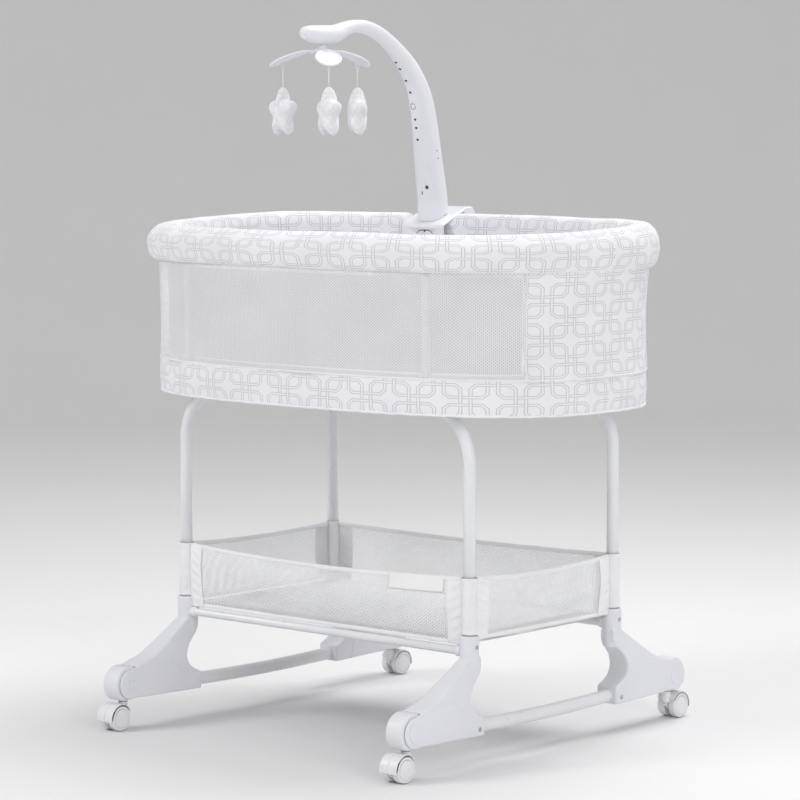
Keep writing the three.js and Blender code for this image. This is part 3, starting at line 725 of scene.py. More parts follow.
def foot_outline():
    """(y, z) of a foot's side view, y measured outwards from the middle of the stand."""
    heel = POST_Y - 0.01325
    out = curve((heel, 0.150), (heel, 0.136), (0.190, 0.128), (0.194, 0.104), 14)
    out += curve((0.194, 0.104), (0.194, 0.090), (0.182, 0.080), (0.1625, 0.074), 14)[1:]
    out += [(0.1625, 0.045), (0.310, 0.049)]
    out += arc((DRUM_Y, DRUM_Z), 0.024, -90, 90, 24)
    out += curve((0.3215, 0.0958), (0.300, 0.102), (0.289, 0.105), (0.278, 0.108), 8)[1:]
    out += curve((0.278, 0.108), (0.270, 0.1105), (0.264, 0.113), (0.258, 0.1165), 6)[1:]
    out += [(POST_Y + 0.01475, 0.160), (heel, 0.165)]
    return out


def panel_depth(y, z):
    """Signed distance into the raised side panel of a foot, positive inside."""
    edge = curve((0.199, 0.040), (0.203, 0.080), (0.222, 0.104), (0.252, 0.1045), 16)
    edge += curve((0.252, 0.1045), (0.285, 0.102), (0.300, 0.099), (0.325, 0.0985), 10)[1:]
    edge += [(0.36, 0.098), (0.36, 0.03), (0.199, 0.03)]
    inside = np.zeros(len(y), bool)
    away = np.full(len(y), 1.0)
    for (y0, z0), (y1, z1) in zip(edge, edge[1:] + edge[:1]):
        crosses = ((z0 > z) != (z1 > z)) & (y < (y1 - y0) * (z - z0) / ((z1 - z0) or 1e-9) + y0)
        inside ^= crosses
        along = (y - y0) * (y1 - y0) + (z - z0) * (z1 - z0)
        t = np.clip(along / ((y1 - y0) ** 2 + (z1 - z0) ** 2 + 1e-12), 0, 1)
        away = np.minimum(away, np.hypot(y - y0 - t * (y1 - y0), z - z0 - t * (z1 - z0)))
    return np.where(inside, away, -away)


def remeshed(obj, size, smooths, factor=0.5):
    modify(obj, "REMESH", mode="VOXEL", voxel_size=size)
    if smooths:
        modify(obj, "SMOOTH", factor=factor, iterations=smooths)
    return apply_modifiers(obj)


def foot_mesh():
    body = extrude("foot_shape", foot_outline(), FOOT_HALF, 0.0)
    remeshed(body, 0.0022, 4)
    co = vertices(body)
    up = ease(co[:, 2], 0.098, 0.160)
    co[:, 0] *= 1 + up * (0.0135 / FOOT_HALF - 1)
    set_vertices(body, co)
    socket_profile = rounded(rod(0.01475, 0.135, SOCKET_TOP, 0.0002), 0.002)
    socket = lathe("socket", socket_profile, (0, POST_Y, 0), "z", 48)
    join(body, socket)
    remeshed(body, 0.0018, 0)
    slot = lathe("slot", [(0.0001, -0.0166), (0.0298, -0.0166), (0.0298, 0.0166), (0.0001, 0.0166)],
                 (0, DRUM_Y, DRUM_Z), "x", 64)
    cut(body, slot)
    remeshed(body, 0.00125, 5)
    co = vertices(body)
    inward = panel_depth(co[:, 1], co[:, 2])
    flat = np.abs(co[:, 0]) > 0.0168
    raised = ease(inward, -0.0006, 0.0010) * 0.0008 + np.exp(-((inward - 0.0006) / 0.0009) ** 2) * 0.0005
    co[:, 0] += np.sign(co[:, 0]) * raised * flat * (co[:, 2] < 0.112)
    notch = np.exp(-((co[:, 1] - 0.199) / 0.0016) ** 2) * (co[:, 2] < 0.052) * 0.0016
    co[:, 2] += notch
    set_vertices(body, co)
    return body


def screw_mesh():
    """Pan-head cross-recess screw along +X, its head standing out from x = 0."""
    profile = [(0.0001, -0.001), (0.0033, -0.001), (0.0034, 0.0), (0.0033, 0.0008), (0.0027, 0.0015),
               (0.0015, 0.0019), (0.0001, 0.002)]
    head = lathe("screw_head", profile, (0, 0, 0), "x", 28)
    for turn in (0, 1):
        a, b = (0.0022, 0.0006) if turn else (0.0006, 0.0022)
        slot = extrude("recess", [(-a, -b), (a, -b), (a, b), (-a, b)], 0.0012, 0.0, centre=(0.0020, 0, 0))
        cut(head, slot)
    return head


def pivot_mesh():
    """Flat round pin head on +X and the squarish rivet lug on -X, round the fold axis."""
    face = FOOT_HALF + 0.0007
    profile = rounded([(0.0002, face - 0.0012), (0.0155, face - 0.0012), (0.0155, face + 0.0012),
                       (0.0125, face + 0.0014), (0.0002, face + 0.0018)], 0.0008)
    cap = lathe("pin_cap", profile, (0, DRUM_Y, DRUM_Z), "x", 56)
    side = [(-0.0055, -0.0065), (0.0055, -0.0065), (0.0055, 0.0065), (-0.0055, 0.0065)]
    lug = extrude("pin_lug", side, 0.0017, 0.0014, centre=(-face - 0.0004, DRUM_Y, DRUM_Z))
    apply_modifiers(lug)
    pin = lathe("pin", rod(0.004, -face, face), (0, DRUM_Y, DRUM_Z), "x", 24)
    return join(cap, lug, pin)


def holder_mesh():
    half = 0.0162
    profile = rounded([(0.0002, -half), (0.029, -half), (0.029, half), (0.0002, half)], 0.0045, 8)
    drum = lathe("drum", profile, (0, DRUM_Y, DRUM_Z), "x", 72)
    below = extrude("below", [(-0.05, -0.03), (0.05, -0.03), (0.05, 0.0), (-0.05, 0.0)], 0.05, 0.0,
                    centre=(0, DRUM_Y, DRUM_Z - 0.024))
    cut(drum, below)
    bore = lathe("bore", [(0.0001, -0.03), (0.0045, -0.03), (0.0045, 0.03), (0.0001, 0.03)],
                 (0, DRUM_Y, DRUM_Z), "x", 32)
    well = lathe("well", rod(0.0045, 0.03, 0.0645), (0, DRUM_Y, 0), "z", 32)
    collar = lathe("collar", rounded(rod(0.0075, 0.0446, 0.051, 0.0002), 0.0008),
                   (0, DRUM_Y, 0), "z", 40)
    modify(drum, "BOOLEAN", operation="UNION", object=collar, solver="EXACT")
    apply_modifiers(drum)
    remove(collar)
    return cut(drum, bore, well)


def hood_mesh():
    """Twin hood with a groove between its halves, the web between the wheels and the swivel stem."""
    shell = arc((0, 0), 0.023, -12, 152, 40) + arc((0, 0), WHEEL_R + 0.0011, 152, -12, 40)
    parts = []
    for side in (-1, 1):
        half = extrude("hood_half", shell, 0.0083, 0.0010, centre=(side * 0.0085, WHEEL_Y, WHEEL_R))
        parts.append(apply_modifiers(half))
    web_line = arc((0, 0), 0.0222, -12, 152, 40) + [(-0.024, 0.002), (-0.009, -0.009), (0.012, -0.011)]
    web = apply_modifiers(extrude("web", web_line, 0.0034, 0.0006, centre=(0, WHEEL_Y, WHEEL_R)))
    stem_top = 0.0635
    profile = [(0.0002, 0.026), (0.0075, 0.026), (0.0075, 0.0438), (0.004, 0.0438), (0.004, stem_top),
               (0.0002, stem_top)]
    neck = lathe("neck", rounded(profile, 0.0006), (0, DRUM_Y, 0), "z", 40)
    hole = lathe("hole", rod(0.0011, -0.002, 0.002), (0.0075, WHEEL_Y - 0.004, WHEEL_R + 0.0226), "z", 16)
    cut(parts[1], hole)
    axle = lathe("axle", [(0.0001, -0.0135), (0.0029, -0.0135), (0.0029, 0.0135), (0.0001, 0.0135)],
                 (0, WHEEL_Y, WHEEL_R), "x", 20)
    return join(parts[0], parts[1], web, neck, axle)


def wheel_mesh():
    """One wheel along +X: tread with rounded shoulders, a groove, and the domed hub cap."""
    profile = rounded([(0.0002, 0.0139), (0.0034, 0.0139), (0.0034, 0.0050), (WHEEL_R - 0.001, 0.0050),
                       (WHEEL_R, 0.0062), (WHEEL_R, 0.0148), (WHEEL_R - 0.0012, 0.0172), (0.0158, 0.0174), (0.0155, 0.0164), (0.0149, 0.0164),
                       (0.0146, 0.0176), (0.0120, 0.0181), (0.006, 0.0184), (0.0002, 0.0185)], 0.0007, 3)
    return lathe("wheel", profile, (0, 0, 0), "x", 64)


def stand_corners():
    foot, screw, pivot, holder, hood, disc = (foot_mesh(), screw_mesh(), pivot_mesh(), holder_mesh(),
                                              hood_mesh(), wheel_mesh())
    for name, sx, sy in CORNERS:
        at = corner_matrix(sx, sy)
        outer = sx * sy
        flip = Matrix.Identity(4) if outer > 0 else (
            Matrix.Translation((0, 2 * DRUM_Y, 0)) @ Matrix.Rotation(math.pi, 4, "Z"))
        finish_piece(copy_of(foot, f"foot_shell_{name}", at), MOULDED, "stand",
                     [f"foot_{name}"])
        finish_piece(copy_of(pivot, f"pin_{name}", at @ flip), MOULDED, "stand",
                     [f"wheel_pivot_{name}"])
        finish_piece(copy_of(holder, f"drum_{name}", at), MOULDED, f"holder_{name}",
                     [f"caster_holder_{name}"])
        finish_piece(copy_of(hood, f"twin_hood_{name}", at), CASTER, f"caster_{name}",
                     [f"caster_hood_{name}"])
        for end, turn in (("a", 0.0), ("b", math.pi)):
            place = at @ Matrix.Translation((0, WHEEL_Y, WHEEL_R)) @ Matrix.Rotation(turn, 4, "Z")
            finish_piece(copy_of(disc, f"disc_{name}_{end}", place), CASTER, f"wheel_{name}_{end}",
                         [f"wheel_{name}_{end}"])
        for number, (x, y, z) in enumerate(((0.0147, POST_Y, 0.180), (0.0206, 0.175, 0.0565))):
            spin = Matrix.Rotation(0.0 if outer > 0 else math.pi, 4, "Z")
            spin = spin @ Matrix.Rotation(0.4 * number + 0.3, 4, "X")
            place = at @ Matrix.Translation((outer * (x - 0.0004), y, z)) @ spin
            obj = copy_of(screw, f"screw_{name}_{number}", place)
            finish_piece(obj, STEEL, "stand")
    remove(foot, screw, pivot, holder, hood, disc)


# ---- crib frame ---------------------------------------------------------------------------------
def half_width_at(x, half):
    return (half - OVAL_DIFFERENCE) * (1 - (abs(x) / half) ** OVAL_POWER) ** (1 / OVAL_POWER)


def crib_hoops():
    """Smooth hoops: each half hoop piece stands for one CAD half."""
    for node, half, radius in (("base_hoop", 0.411, 0.006), ("rim_frame", 0.417, 0.007)):
        for name, side in (("left", -1), ("right", 1)):
            low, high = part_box(f"{node}_{name}")
            z = low.z + radius if node == "base_hoop" else high.z - radius
            angles = np.linspace(-np.pi / 2 + 0.004, np.pi / 2 - 0.004, 121)
            p = oval_at(angles, half) * side
            obj = tube(f"{node}_tube_{name}", [(x, y, z) for x, y in p], radius, 16)
            if node == "rim_frame":
                bottom = low.z
                for sy in (-1, 1):
                    foothold = (side * 0.25, sy * half_width_at(0.25, 0.411), bottom)
                    head = (side * 0.25, sy * half_width_at(0.25, 0.417), z - 0.004)
                    obj = join(obj, tube("upright", [foothold, head], 0.005, 20, up=(1, 0, 0)))
            finish_piece(obj, PAINT, "stand", [f"{node}_{name}"])


def crib_floor():
    for node, material in (("base_board", HARDBOARD), ("cross_strap_left", STEEL), ("cross_strap_right", STEEL)):
        NODES[node].data.materials.clear()
        NODES[node].data.materials.append(material)
        modify(NODES[node], "BEVEL", width=0.0006, segments=2, limit_method="ANGLE")


def mattress():
    """Foam pad in a cloth cover: domed top, soft dents, a piped edge."""
    low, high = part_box("mattress")
    half = high.x
    angles, length = even_angles(half, 360)
    run = np.linspace(0, length, 361)
    rows, v = [], [0.0]
    edge = 0.012
    outline = oval_at(angles, half)
    for share in np.linspace(0.02, 0.94, 34):
        rows.append((outline * share, high.z - 0.0005 - 0.0035 * share ** 4, share))
    for t in np.linspace(0.15, 1.0, 8):
        turn = t * math.pi / 2
        inset = edge * (1 - math.sin(turn))
        drop = 0.004 + (edge - 0.002) * (1 - math.cos(turn))
        rows.append((oval_at(angles, half - inset), high.z - drop, 1.0))
    for t in np.linspace(0.2, 1.0, 6):
        rows.append((oval_at(angles, half), high.z - 0.014 - (high.z - 0.014 - low.z) * t, 1.0))
    points = np.array([np.column_stack([xy, np.full(360, z)]) for xy, z, _ in rows])
    dents = noise_field(points, 7.0, 3.1) * 0.0020 + noise_field(points, 26.0, 9.0) * 0.0007
    inner = np.array([min(1.0, (1.02 - s) * 12) if s < 1 else 0.25 for _, _, s in rows])[:, None]
    points[..., 2] += np.minimum(dents, 0.001) * inner
    for a, b in zip(points, points[1:]):
        v.append(v[-1] + float(np.linalg.norm(b - a, axis=1).mean()))
    obj = grid("mattress_pad", points, run, v, wrap_u=True, caps=True)
    uv_from_plan(obj)
    finish_piece(obj, PLAIN, "stand", ["mattress"])
    line = [(x, y, high.z - 0.005) for x, y in oval_at(angles, half - 0.0015)]
    piping = tube("mattress_piping", line, 0.0018, 10, True)
    finish_piece(piping, BINDING, "stand")


def uv_from_plan(obj):
    """The map's metres straight from x and y where the face is level."""
    layer = obj.data.uv_layers[0]
    for poly in obj.data.polygons:
        if abs(poly.normal.z) > 0.7:
            for loop in poly.loop_indices:
                co = obj.data.vertices[obj.data.loops[loop].vertex_index].co
                layer.data[loop].uv = (co.x, co.y)


# ---- crib covers --------------------------------------------------------------------------------
def gathers(run, z, low, high, seed, period=0.016):
    """Fine upright puckers that fade from a seam at z = low up (or down) to z = high."""
    out = np.zeros((len(z), len(run)))
    for k, here in enumerate(z):
        near = 1 - np.clip((here - low) / (high - low), 0, 1)
        for j, s in enumerate(run):
            a = noise.noise(Vector((s / period, seed, here * 9)))
            b = noise.noise(Vector((s / (period * 2.7), seed + 5, here * 5)))
            out[k, j] = near ** 1.6 * (a + 0.7 * b)
    return out


def rim_pad():
    """Padded rim in printed cloth, tucked in with puckers along both lower edges."""
    outer = [(0.4295, 0.7435), (0.4340, 0.7500), (0.4378, 0.7640), (0.4385, 0.7790), (0.4360, 0.7920),
             (0.4295, 0.8030), (0.4205, 0.8100), (0.4110, 0.8118), (0.4030, 0.8070), (0.3985, 0.7970),
             (0.3968, 0.7830), (0.3968, 0.7680), (0.3985, 0.7550), (0.4035, 0.7445), (0.4100, 0.7432),
             (0.4165, 0.7462), (0.4230, 0.7436)]
    profile = fine_profile(outer, 3, closed=True)
    points = oval_rows(profile, RIM_POWER)
    z = points[:, 0, 2]
    side = np.array([p[0] for p in profile])
    out = outward(points)
    pucker = gathers(OVAL_RUN[:-1], z, 0.7435, 0.7790, 2.0)
    soft = noise_field(points, 9.0, 1.7) * 0.0016 + noise_field(points, 28.0, 4.2) * 0.0007
    facing = np.where(side > 0.4165, 1.0, -1.0)[:, None]
    amount = (pucker * 0.0020 + soft)
    points += out * (amount * facing)[..., None]
    points[..., 2] += amount * ease(z, 0.79, 0.808)[:, None] * 0.8
    points[..., 2] = np.minimum(points[..., 2], rim_high.z + 0.002)
    y = points[..., 1]
    sunk = (RIM_SAG_ENDS + RIM_SAG_FRONT * (1 - ease(y, -0.20, 0.05))) * (1 - ease(y, 0.02, 0.16))
    points[..., 2] -= sunk * ease(z, 0.760, 0.806)[:, None]
    under = (1 - ease(np.abs(points[..., 0] - HUB_X), 0.0464, 0.0510)) * (y > 0)
    lid = lid_top(y) - CLAMP_LID - 0.0009
    points[..., 2] -= np.maximum(points[..., 2] - lid, 0) * under
    v = profile_run(profile + [profile[0]])
    obj = grid("rim_cushion", points, OVAL_RUN, v, wrap_u=True, wrap_v=True)
    modify(obj, "SUBSURF", levels=0, render_levels=1)
    finish_piece(obj, PRINT, "stand", ["rim_pad"])
    seam = [(x, y, 0.7440) for x, y in oval_at(OVAL_ANGLES, 0.4285, RIM_POWER)]
    finish_piece(tube("rim_seam", seam, 0.0011, 8, True), BINDING, "stand")


def piping_ring(name, half, z, radius, wave):
    angles, length = even_angles(half, 1500)
    p = oval_at(angles, half)
    run = np.linspace(0, length, 1501)[:-1]
    points = [(x, y, z + wave * noise.noise(Vector((s / 0.02, 3.0, 0)))) for (x, y), s in zip(p, run)]
    swell = [1.0 + 0.16 * math.sin(2 * math.pi * s / 0.0052) for s in run]
    obj = tube(name, points, radius, 10, True, taper=swell)
    return finish_piece(obj, BINDING, "stand")


def lower_band():
    """Puckered printed band below the mesh, with corded edges."""
    shape = [(0.4244, 0.5825), (0.4254, 0.5765), (0.4262, 0.5660), (0.4265, 0.5540), (0.4258, 0.5420),
             (0.4245, 0.5325), (0.4235, 0.5295)]
    profile = fine_profile(shape, 4)
    points = oval_rows(profile)
    z = points[:, 0, 2]
    out = outward(points)
    top = gathers(OVAL_RUN[:-1], -z, -0.5825, -0.5560, 6.0, 0.013)
    bottom = gathers(OVAL_RUN[:-1], z, 0.5295, 0.5560, 8.0, 0.013)
    soft = noise_field(points, 12.0, 2.4) * 0.0022 + noise_field(points, 34.0, 8.1) * 0.0010
    amount = top * 0.0020 + bottom * 0.0024 + soft
    points += out * amount[..., None]
    points[-1, :, 2] += 0.0006 * noise_field(points[-1:], 60.0, 1.0)[0]
    v = [-t for t in profile_run(profile)]
    obj = grid("band_cloth", points, OVAL_RUN, v, wrap_u=True)
    obj.data.flip_normals()
    modify(obj, "SOLIDIFY", thickness=0.0014, offset=-1)
    modify(obj, "SUBSURF", levels=0, render_levels=1)
    finish_piece(obj, PRINT, "stand", ["lower_band"])
    hem = piping_ring("band_hem_cord", 0.4236, 0.5300, 0.0021, 0.0009)
    top_cord = piping_ring("band_top_cord", 0.4250, 0.5835, 0.0015, 0.0005)


def arc_columns(keep):
    """Runs of neighbouring columns of the oval where keep is true, joined over the start of the oval."""
    flags = list(keep)
    start = next(i for i in range(len(flags)) if flags[i] and not flags[i - 1])
    runs, current = [], []
    for k in range(len(flags)):
        i = (start + k) % len(flags)
        if flags[i]:
            current.append(i)
        elif current:
            runs.append(current)
            current = []
    if current:
        runs.append(current)
    return runs


def wall_strip(name, columns, halves, bottom, top, rows, material, sink, seed, node=None, soft=0.0012):
    """Strip of cloth up the wall over some columns of the oval."""
    z = np.linspace(bottom, top, rows)
    profile = [(halves[0] + (halves[1] - halves[0]) * t - sink * math.sin(math.pi * t), h)
               for t, h in zip(np.linspace(0, 1, rows), z)]
    points = oval_rows(profile)[:, columns]
    out = outward(oval_rows(profile))[:, columns]
    tall = np.sin(np.pi * np.linspace(0, 1, rows))[:, None]
    broad, fine = noise_field(points, 8.0, seed) * soft, noise_field(points, 24.0, seed + 3) * soft * 0.35
    points = points + out * ((broad + fine) * tall ** 0.5)[..., None]
    run = OVAL_RUN[:-1][columns]
    steps = OVAL_LENGTH / AROUND
    u = run[0] + steps * np.arange(len(columns))
    v = z - bottom
    obj = grid(name, points, u, v)
    obj.data.flip_normals()
    finish_piece(obj, material, "stand", [node] if node else ())
    return obj, (float(u[-1] - u[0]), float(v[-1]))


def crib_wall():
    """Net panels on the long sides with a cloth liner behind in a darker painted-shade colour, printed panels at
    the ends.
    """
    reference = oval_at(OVAL_ANGLES, 0.4262)
    x, y = reference[:, 0], reference[:, 1]
    end_y = 0.150
    bottom, top = BAND_TOP - 0.001, rim_low.z + 0.004
    halves = (0.4245, 0.4272)
    nets = arc_columns(np.abs(y) > end_y - 0.003)
    ends = arc_columns(np.abs(y) <= end_y + 0.001)
    for columns in nets:
        side = "back" if y[columns[len(columns) // 2]] > 0 else "front"
        node = "mesh_wall" if side == "front" else None
        obj, flat = wall_strip(f"net_{side}", columns, halves, bottom, top, 49, WALL_NET, 0.0015,
                               11.0, node)
        inner = columns[1:-1]
        # The liner behind the net is drawn in the painted-shade colour, so the holes read grey.
        liner, flat = wall_strip(f"liner_{side}", inner, (0.4130, 0.4150), bottom + 0.010, top - 0.012, 25, LINER_PAINTED_SHADE,
                                 0.002, 17.0, soft=0.002)
    for columns in ends:
        side = "right" if x[columns[len(columns) // 2]] > 0 else "left"
        obj, flat = wall_strip(f"end_{side}", columns, (0.4262, 0.4285), bottom, top, 49, PRINT,
                               0.0045, 23.0, soft=0.0022)
        for k, j in enumerate((columns[1], columns[-2])):
            line = []
            for t in np.linspace(0, 1, 30):
                half = 0.4266 + 0.0023 * t - 0.0040 * math.sin(math.pi * t)
                p = oval_at(OVAL_ANGLES[j:j + 1], half)[0]
                line.append((p[0], p[1], bottom + (top - bottom) * t))
            finish_piece(tube(f"end_seam_{side}_{k}", line, 0.0009, 8), BINDING, "stand")
    for sx in (-1, 1):
        for sy in (-1, 1):
            channel = []
            for t in np.linspace(0, 1, 30):
                z = bottom + (top - bottom) * t
                half = halves[0] + (halves[1] - halves[0]) * t - 0.0015 * math.sin(math.pi * t) - 0.0042
                wide = half_width_at(0.25, half)
                channel.append((sx * 0.25, sy * wide, z))
            obj = tube(f"upright_channel_{sx + 2}_{sy + 2}", channel, 0.0018, 20, flat=3.0, up=(0, 1, 0))
            finish_piece(obj, PLAIN, "stand")


# ---- storage basket -----------------------------------------------------------------------------
BULGE_FRONT = 0.014
BULGE_SIDE = 0.005
FLOOR_Z = basket_low.z
TOP_Z = basket_high.z


def basket_side(name, t):
    """(x, y) and the outward unit vector of a side at share t between its two posts."""
    swell = 4 * t * (1 - t)
    if name in ("front", "back"):
        s = -1 if name == "front" else 1
        x = -s * POST_X * (2 * t - 1)
        out = Vector((x * BULGE_FRONT * 2 / POST_X ** 2, s, 0)).normalized()
        return x, s * (POST_Y + BULGE_FRONT * swell), out
    s = 1 if name == "right" else -1
    y = s * POST_Y * (2 * t - 1)
    out = Vector((s, y * BULGE_SIDE * 2 / POST_Y ** 2, 0)).normalized()
    return s * (POST_X + BULGE_SIDE * swell), y, out


def basket_top(t):
    return TOP_Z - 0.007 * (1 - (2 * t - 1) ** 2)


def basket_point(name, t, up, proud=0.0):
    """A point on a side's cloth: t across between the posts, up from 0 at its bottom to 1 at its top."""
    x, y, out = basket_side(name, t)
    bottom = FLOOR_Z - (0.001 if name in ("front", "back") else -0.006)
    z = bottom + (basket_top(t) - bottom) * up
    width = 2 * (POST_X if name in ("front", "back") else POST_Y)
    away = min(t, 1 - t) * width
    fold = noise.noise(Vector((t * width * 26, up * 3.0 + (7 if name == "front" else 2), 1.3)))
    broad = noise.noise(Vector((t * width * 7, up * 2.2, 4.1 if name == "back" else 8.4)))
    free = min(1.0, away / 0.05)
    belly = 0.0035 * math.sin(math.pi * up)
    slack = (0.0022 * fold + 0.0040 * broad) * free * math.sin(math.pi * min(1, up * 1.02)) ** 0.7
    swell = BULGE_FRONT if name in ("front", "back") else BULGE_SIDE
    tucked = 4 * t * (1 - t) * swell * (1 - ease(up, -0.10, 0.80))
    return Vector((x, y, z)) + out * (belly * free + slack + proud - tucked)


def basket_wall(name):
    width = 2 * (POST_X if name in ("front", "back") else POST_Y)
    margin = 0.0125 / width
    across = np.linspace(margin, 1 - margin, 121 if width > 0.5 else 81)
    up = np.linspace(0, 1, 33)
    points = np.array([[tuple(basket_point(name, t, h)) for t in across] for h in up])
    tall = TOP_Z - FLOOR_Z
    obj = grid(f"basket_net_{name}", points, across * width, up * tall)
    finish_piece(obj, BASKET_NET, "stand", ["storage_basket"] if name == "front" else ())
    extras = []
    top_line = [tuple(basket_point(name, t, 0.965)) for t in across]
    top = tube(f"basket_binding_{name}", top_line, 0.0036, 16, flat=0.36)
    hem_line = [tuple(basket_point(name, t, 0.03)) for t in across]
    hem = tube(f"basket_hem_{name}", hem_line, 0.0032, 16, flat=0.40)
    extras += [top, hem]
    for end in (0, 1):
        extras.append(corner_tab(name, end, width))
        seam_t = 0.0388 / width if end == 0 else 1 - 0.0388 / width
        line = [tuple(basket_point(name, seam_t, h, 0.0012)) for h in np.linspace(0.02, 0.97, 24)]
        extras.append(tube(f"basket_seam_{name}_{end}", line, 0.0009, 8))
    for piece in extras:
        finish_piece(piece, BINDING, "stand")
    if name == "front":
        extras.append(basket_label())


def corner_tab(name, end, width):
    """Woven tab between the post's sleeve and the net, pulled into slanting wrinkles."""
    near, far = 0.0115 / width, 0.0400 / width
    rows, cols = 41, 15
    points = []
    for i in range(rows):
        h = i / (rows - 1)
        line = []
        for j in range(cols):
            s = near + (far - near) * j / (cols - 1)
            t = s if end == 0 else 1 - s
            crease = math.sin(2 * math.pi * (h * 6.5 + j / (cols - 1) * 0.9)) * 0.0009
            crease += 0.0006 * noise.noise(Vector((h * 14, j * 0.3, end + width)))
            proud = 0.0014 + crease * math.sin(math.pi * j / (cols - 1))
            line.append(tuple(basket_point(name, t, h * 0.97, proud)))
        points.append(line)
    u, v = np.linspace(0, 0.016, cols), np.linspace(0, 0.10, rows)
    obj = grid(f"basket_tab_{name}_{end}", np.array(points), u, v)
    modify(obj, "SOLIDIFY", thickness=0.0008, offset=0)
    return obj


def basket_label():
    """Blank sewn label on the front's top edge."""
    t0, t1 = (0.149 / POST_X + 1) / 2, (0.253 / POST_X + 1) / 2
    tall = basket_top(0.83) - FLOOR_Z
    low, high = (0.257 - FLOOR_Z) / tall, (0.2815 - FLOOR_Z) / tall
    points = np.array([[tuple(basket_point("front", t, h, 0.0016)) for t in np.linspace(t0, t1, 41)]
                       for h in np.linspace(low, high, 13)])
    obj = grid("basket_label", points, np.linspace(0, 0.104, 41), np.linspace(0, 0.0245, 13))
    modify(obj, "SOLIDIFY", thickness=0.0007, offset=0)
    return finish_piece(obj, LABEL, "stand")


def post_sleeves():
    for name, sx, sy in CORNERS:
        rows, cols = 45, 48
        points = np.zeros((rows, cols, 3))
        for i in range(rows):
            h = i / (rows - 1)
            z = SOCKET_TOP + 0.002 + (TOP_Z - 0.001 - SOCKET_TOP - 0.002) * h
            for j in range(cols):
                a = 2 * math.pi * j / cols
                wrinkle = noise.noise(Vector((math.cos(a) * 1.5 + sx, math.sin(a) * 1.5 + sy, h * 7)))
                fine = noise.noise(Vector((math.cos(a) * 3, math.sin(a) * 3, h * 22 + sx + 3 * sy)))
                r = 0.0117 + 0.0008 * wrinkle + 0.0005 * fine + 0.0010 * (abs(2 * h - 1) ** 8)
                points[i, j] = (sx * POST_X + r * math.cos(a), sy * POST_Y + r * math.sin(a), z)
        u = [2 * math.pi * 0.012 * j / cols for j in range(cols + 1)]
        obj = grid(f"basket_sleeve_{name}", points, u, np.linspace(0, 0.088, rows), wrap_u=True)
        modify(obj, "SOLIDIFY", thickness=0.0009, offset=-1)
        finish_piece(obj, PLAIN, "stand")


def basket_floor():
    """Net floor that sags a little round its board."""
    ring = []
    for name in ("front", "right", "back", "left"):
        for t in np.linspace(0, 1, 61)[:-1]:
            x, y, out = basket_side(name, t)
            tucked = 3.9 * t * (1 - t) * (BULGE_FRONT if name in ("front", "back") else BULGE_SIDE)
            ring.append((x - out.x * tucked, y - out.y * tucked))
    ring = np.array(ring)
    if np.cross(ring[0], ring[30]) < 0:
        ring = ring[::-1]
    rows = []
    for share in np.linspace(1.0, 0.03, 25):
        p = ring * share
        level = np.column_stack([p, np.zeros(len(p))])[None]
        z = FLOOR_Z + 0.0012 + 0.0006 * noise_field(level, 15.0, 2.0)[0]
        z = np.where(np.maximum(np.abs(p[:, 0]) / POST_X, np.abs(p[:, 1]) / POST_Y) > 0.90, z + 0.0012, z)
        rows.append(np.column_stack([p, z]))
    points = np.array(rows)
    u, v = np.linspace(0, 1.95, len(ring) + 1), np.linspace(0, 0.2, 25)
    obj = grid("basket_floor_cloth", points, u, v, wrap_u=True, caps=True)
    uv_from_plan(obj)
    finish_piece(obj, BASKET_NET, "stand")
    board_node = NODES["basket_floor_board"]
    board_node.data.materials.clear()
    board_node.data.materials.append(HARDBOARD)
    modify(board_node, "BEVEL", width=0.0010, segments=3, limit_method="ANGLE")


# ---- mobile -------------------------------------------------------------------------------------
ARM_STATIONS = [
    (234, 797, 50, 41), (234, 831, 50, 41), (229, 863, 48, 42), (222, 905, 44, 43), (215, 950.5, 38, 44),
    (206, 992, 33, 44), (193, 1024, 30, 39), (172, 1053.5, 24, 36), (141, 1081, 22, 29), (104, 1105, 21, 24.5),
    (69, 1117, 21, 23), (39, 1119, 21, 21), (15, 1114, 25, 24), (-9, 1106, 34, 29), (-33, 1104, 38, 31),
    (-59, 1105, 36, 28), (-77, 1107, 26, 20), (-82, 1107, 14, 11)]
ARM_SIDES = 48


def arm_path(steps=6):
    """Finely stepped stations: middle, tangent, outer normal, half width, half depth, squareness."""
    data = np.array(ARM_STATIONS, float) / 1000
    fine = np.array(fine_profile([tuple(row) for row in data], steps))
    out = []
    for i, (y, z, wide, deep) in enumerate(fine):
        y0, z0 = fine[max(i - 1, 0)][:2]
        y1, z1 = fine[min(i + 1, len(fine) - 1)][:2]
        tangent = Vector((0, y1 - y0, z1 - z0)).normalized()
        normal = tangent.cross(Vector((1, 0, 0))).normalized()
        share = i / (len(fine) - 1)
        power = 2.7 - 0.6 * min(1, share * 1.6)
        out.append((Vector((HUB_X, y, z)), tangent, normal, wide / 2, deep / 2, power))
    return out


def arm_ring(station, grow=0.0):
    at, _, normal, wide, deep, power = station
    ring = []
    for k in range(ARM_SIDES):
        t = 2 * math.pi * k / ARM_SIDES
        c, s = math.cos(t), math.sin(t)
        a = (wide + grow) * math.copysign(abs(c) ** (2 / power), c)
        b = (deep + grow) * math.copysign(abs(s) ** (2 / power), s)
        ring.append(tuple(at + Vector((a, 0, 0)) + normal * b))
    return ring


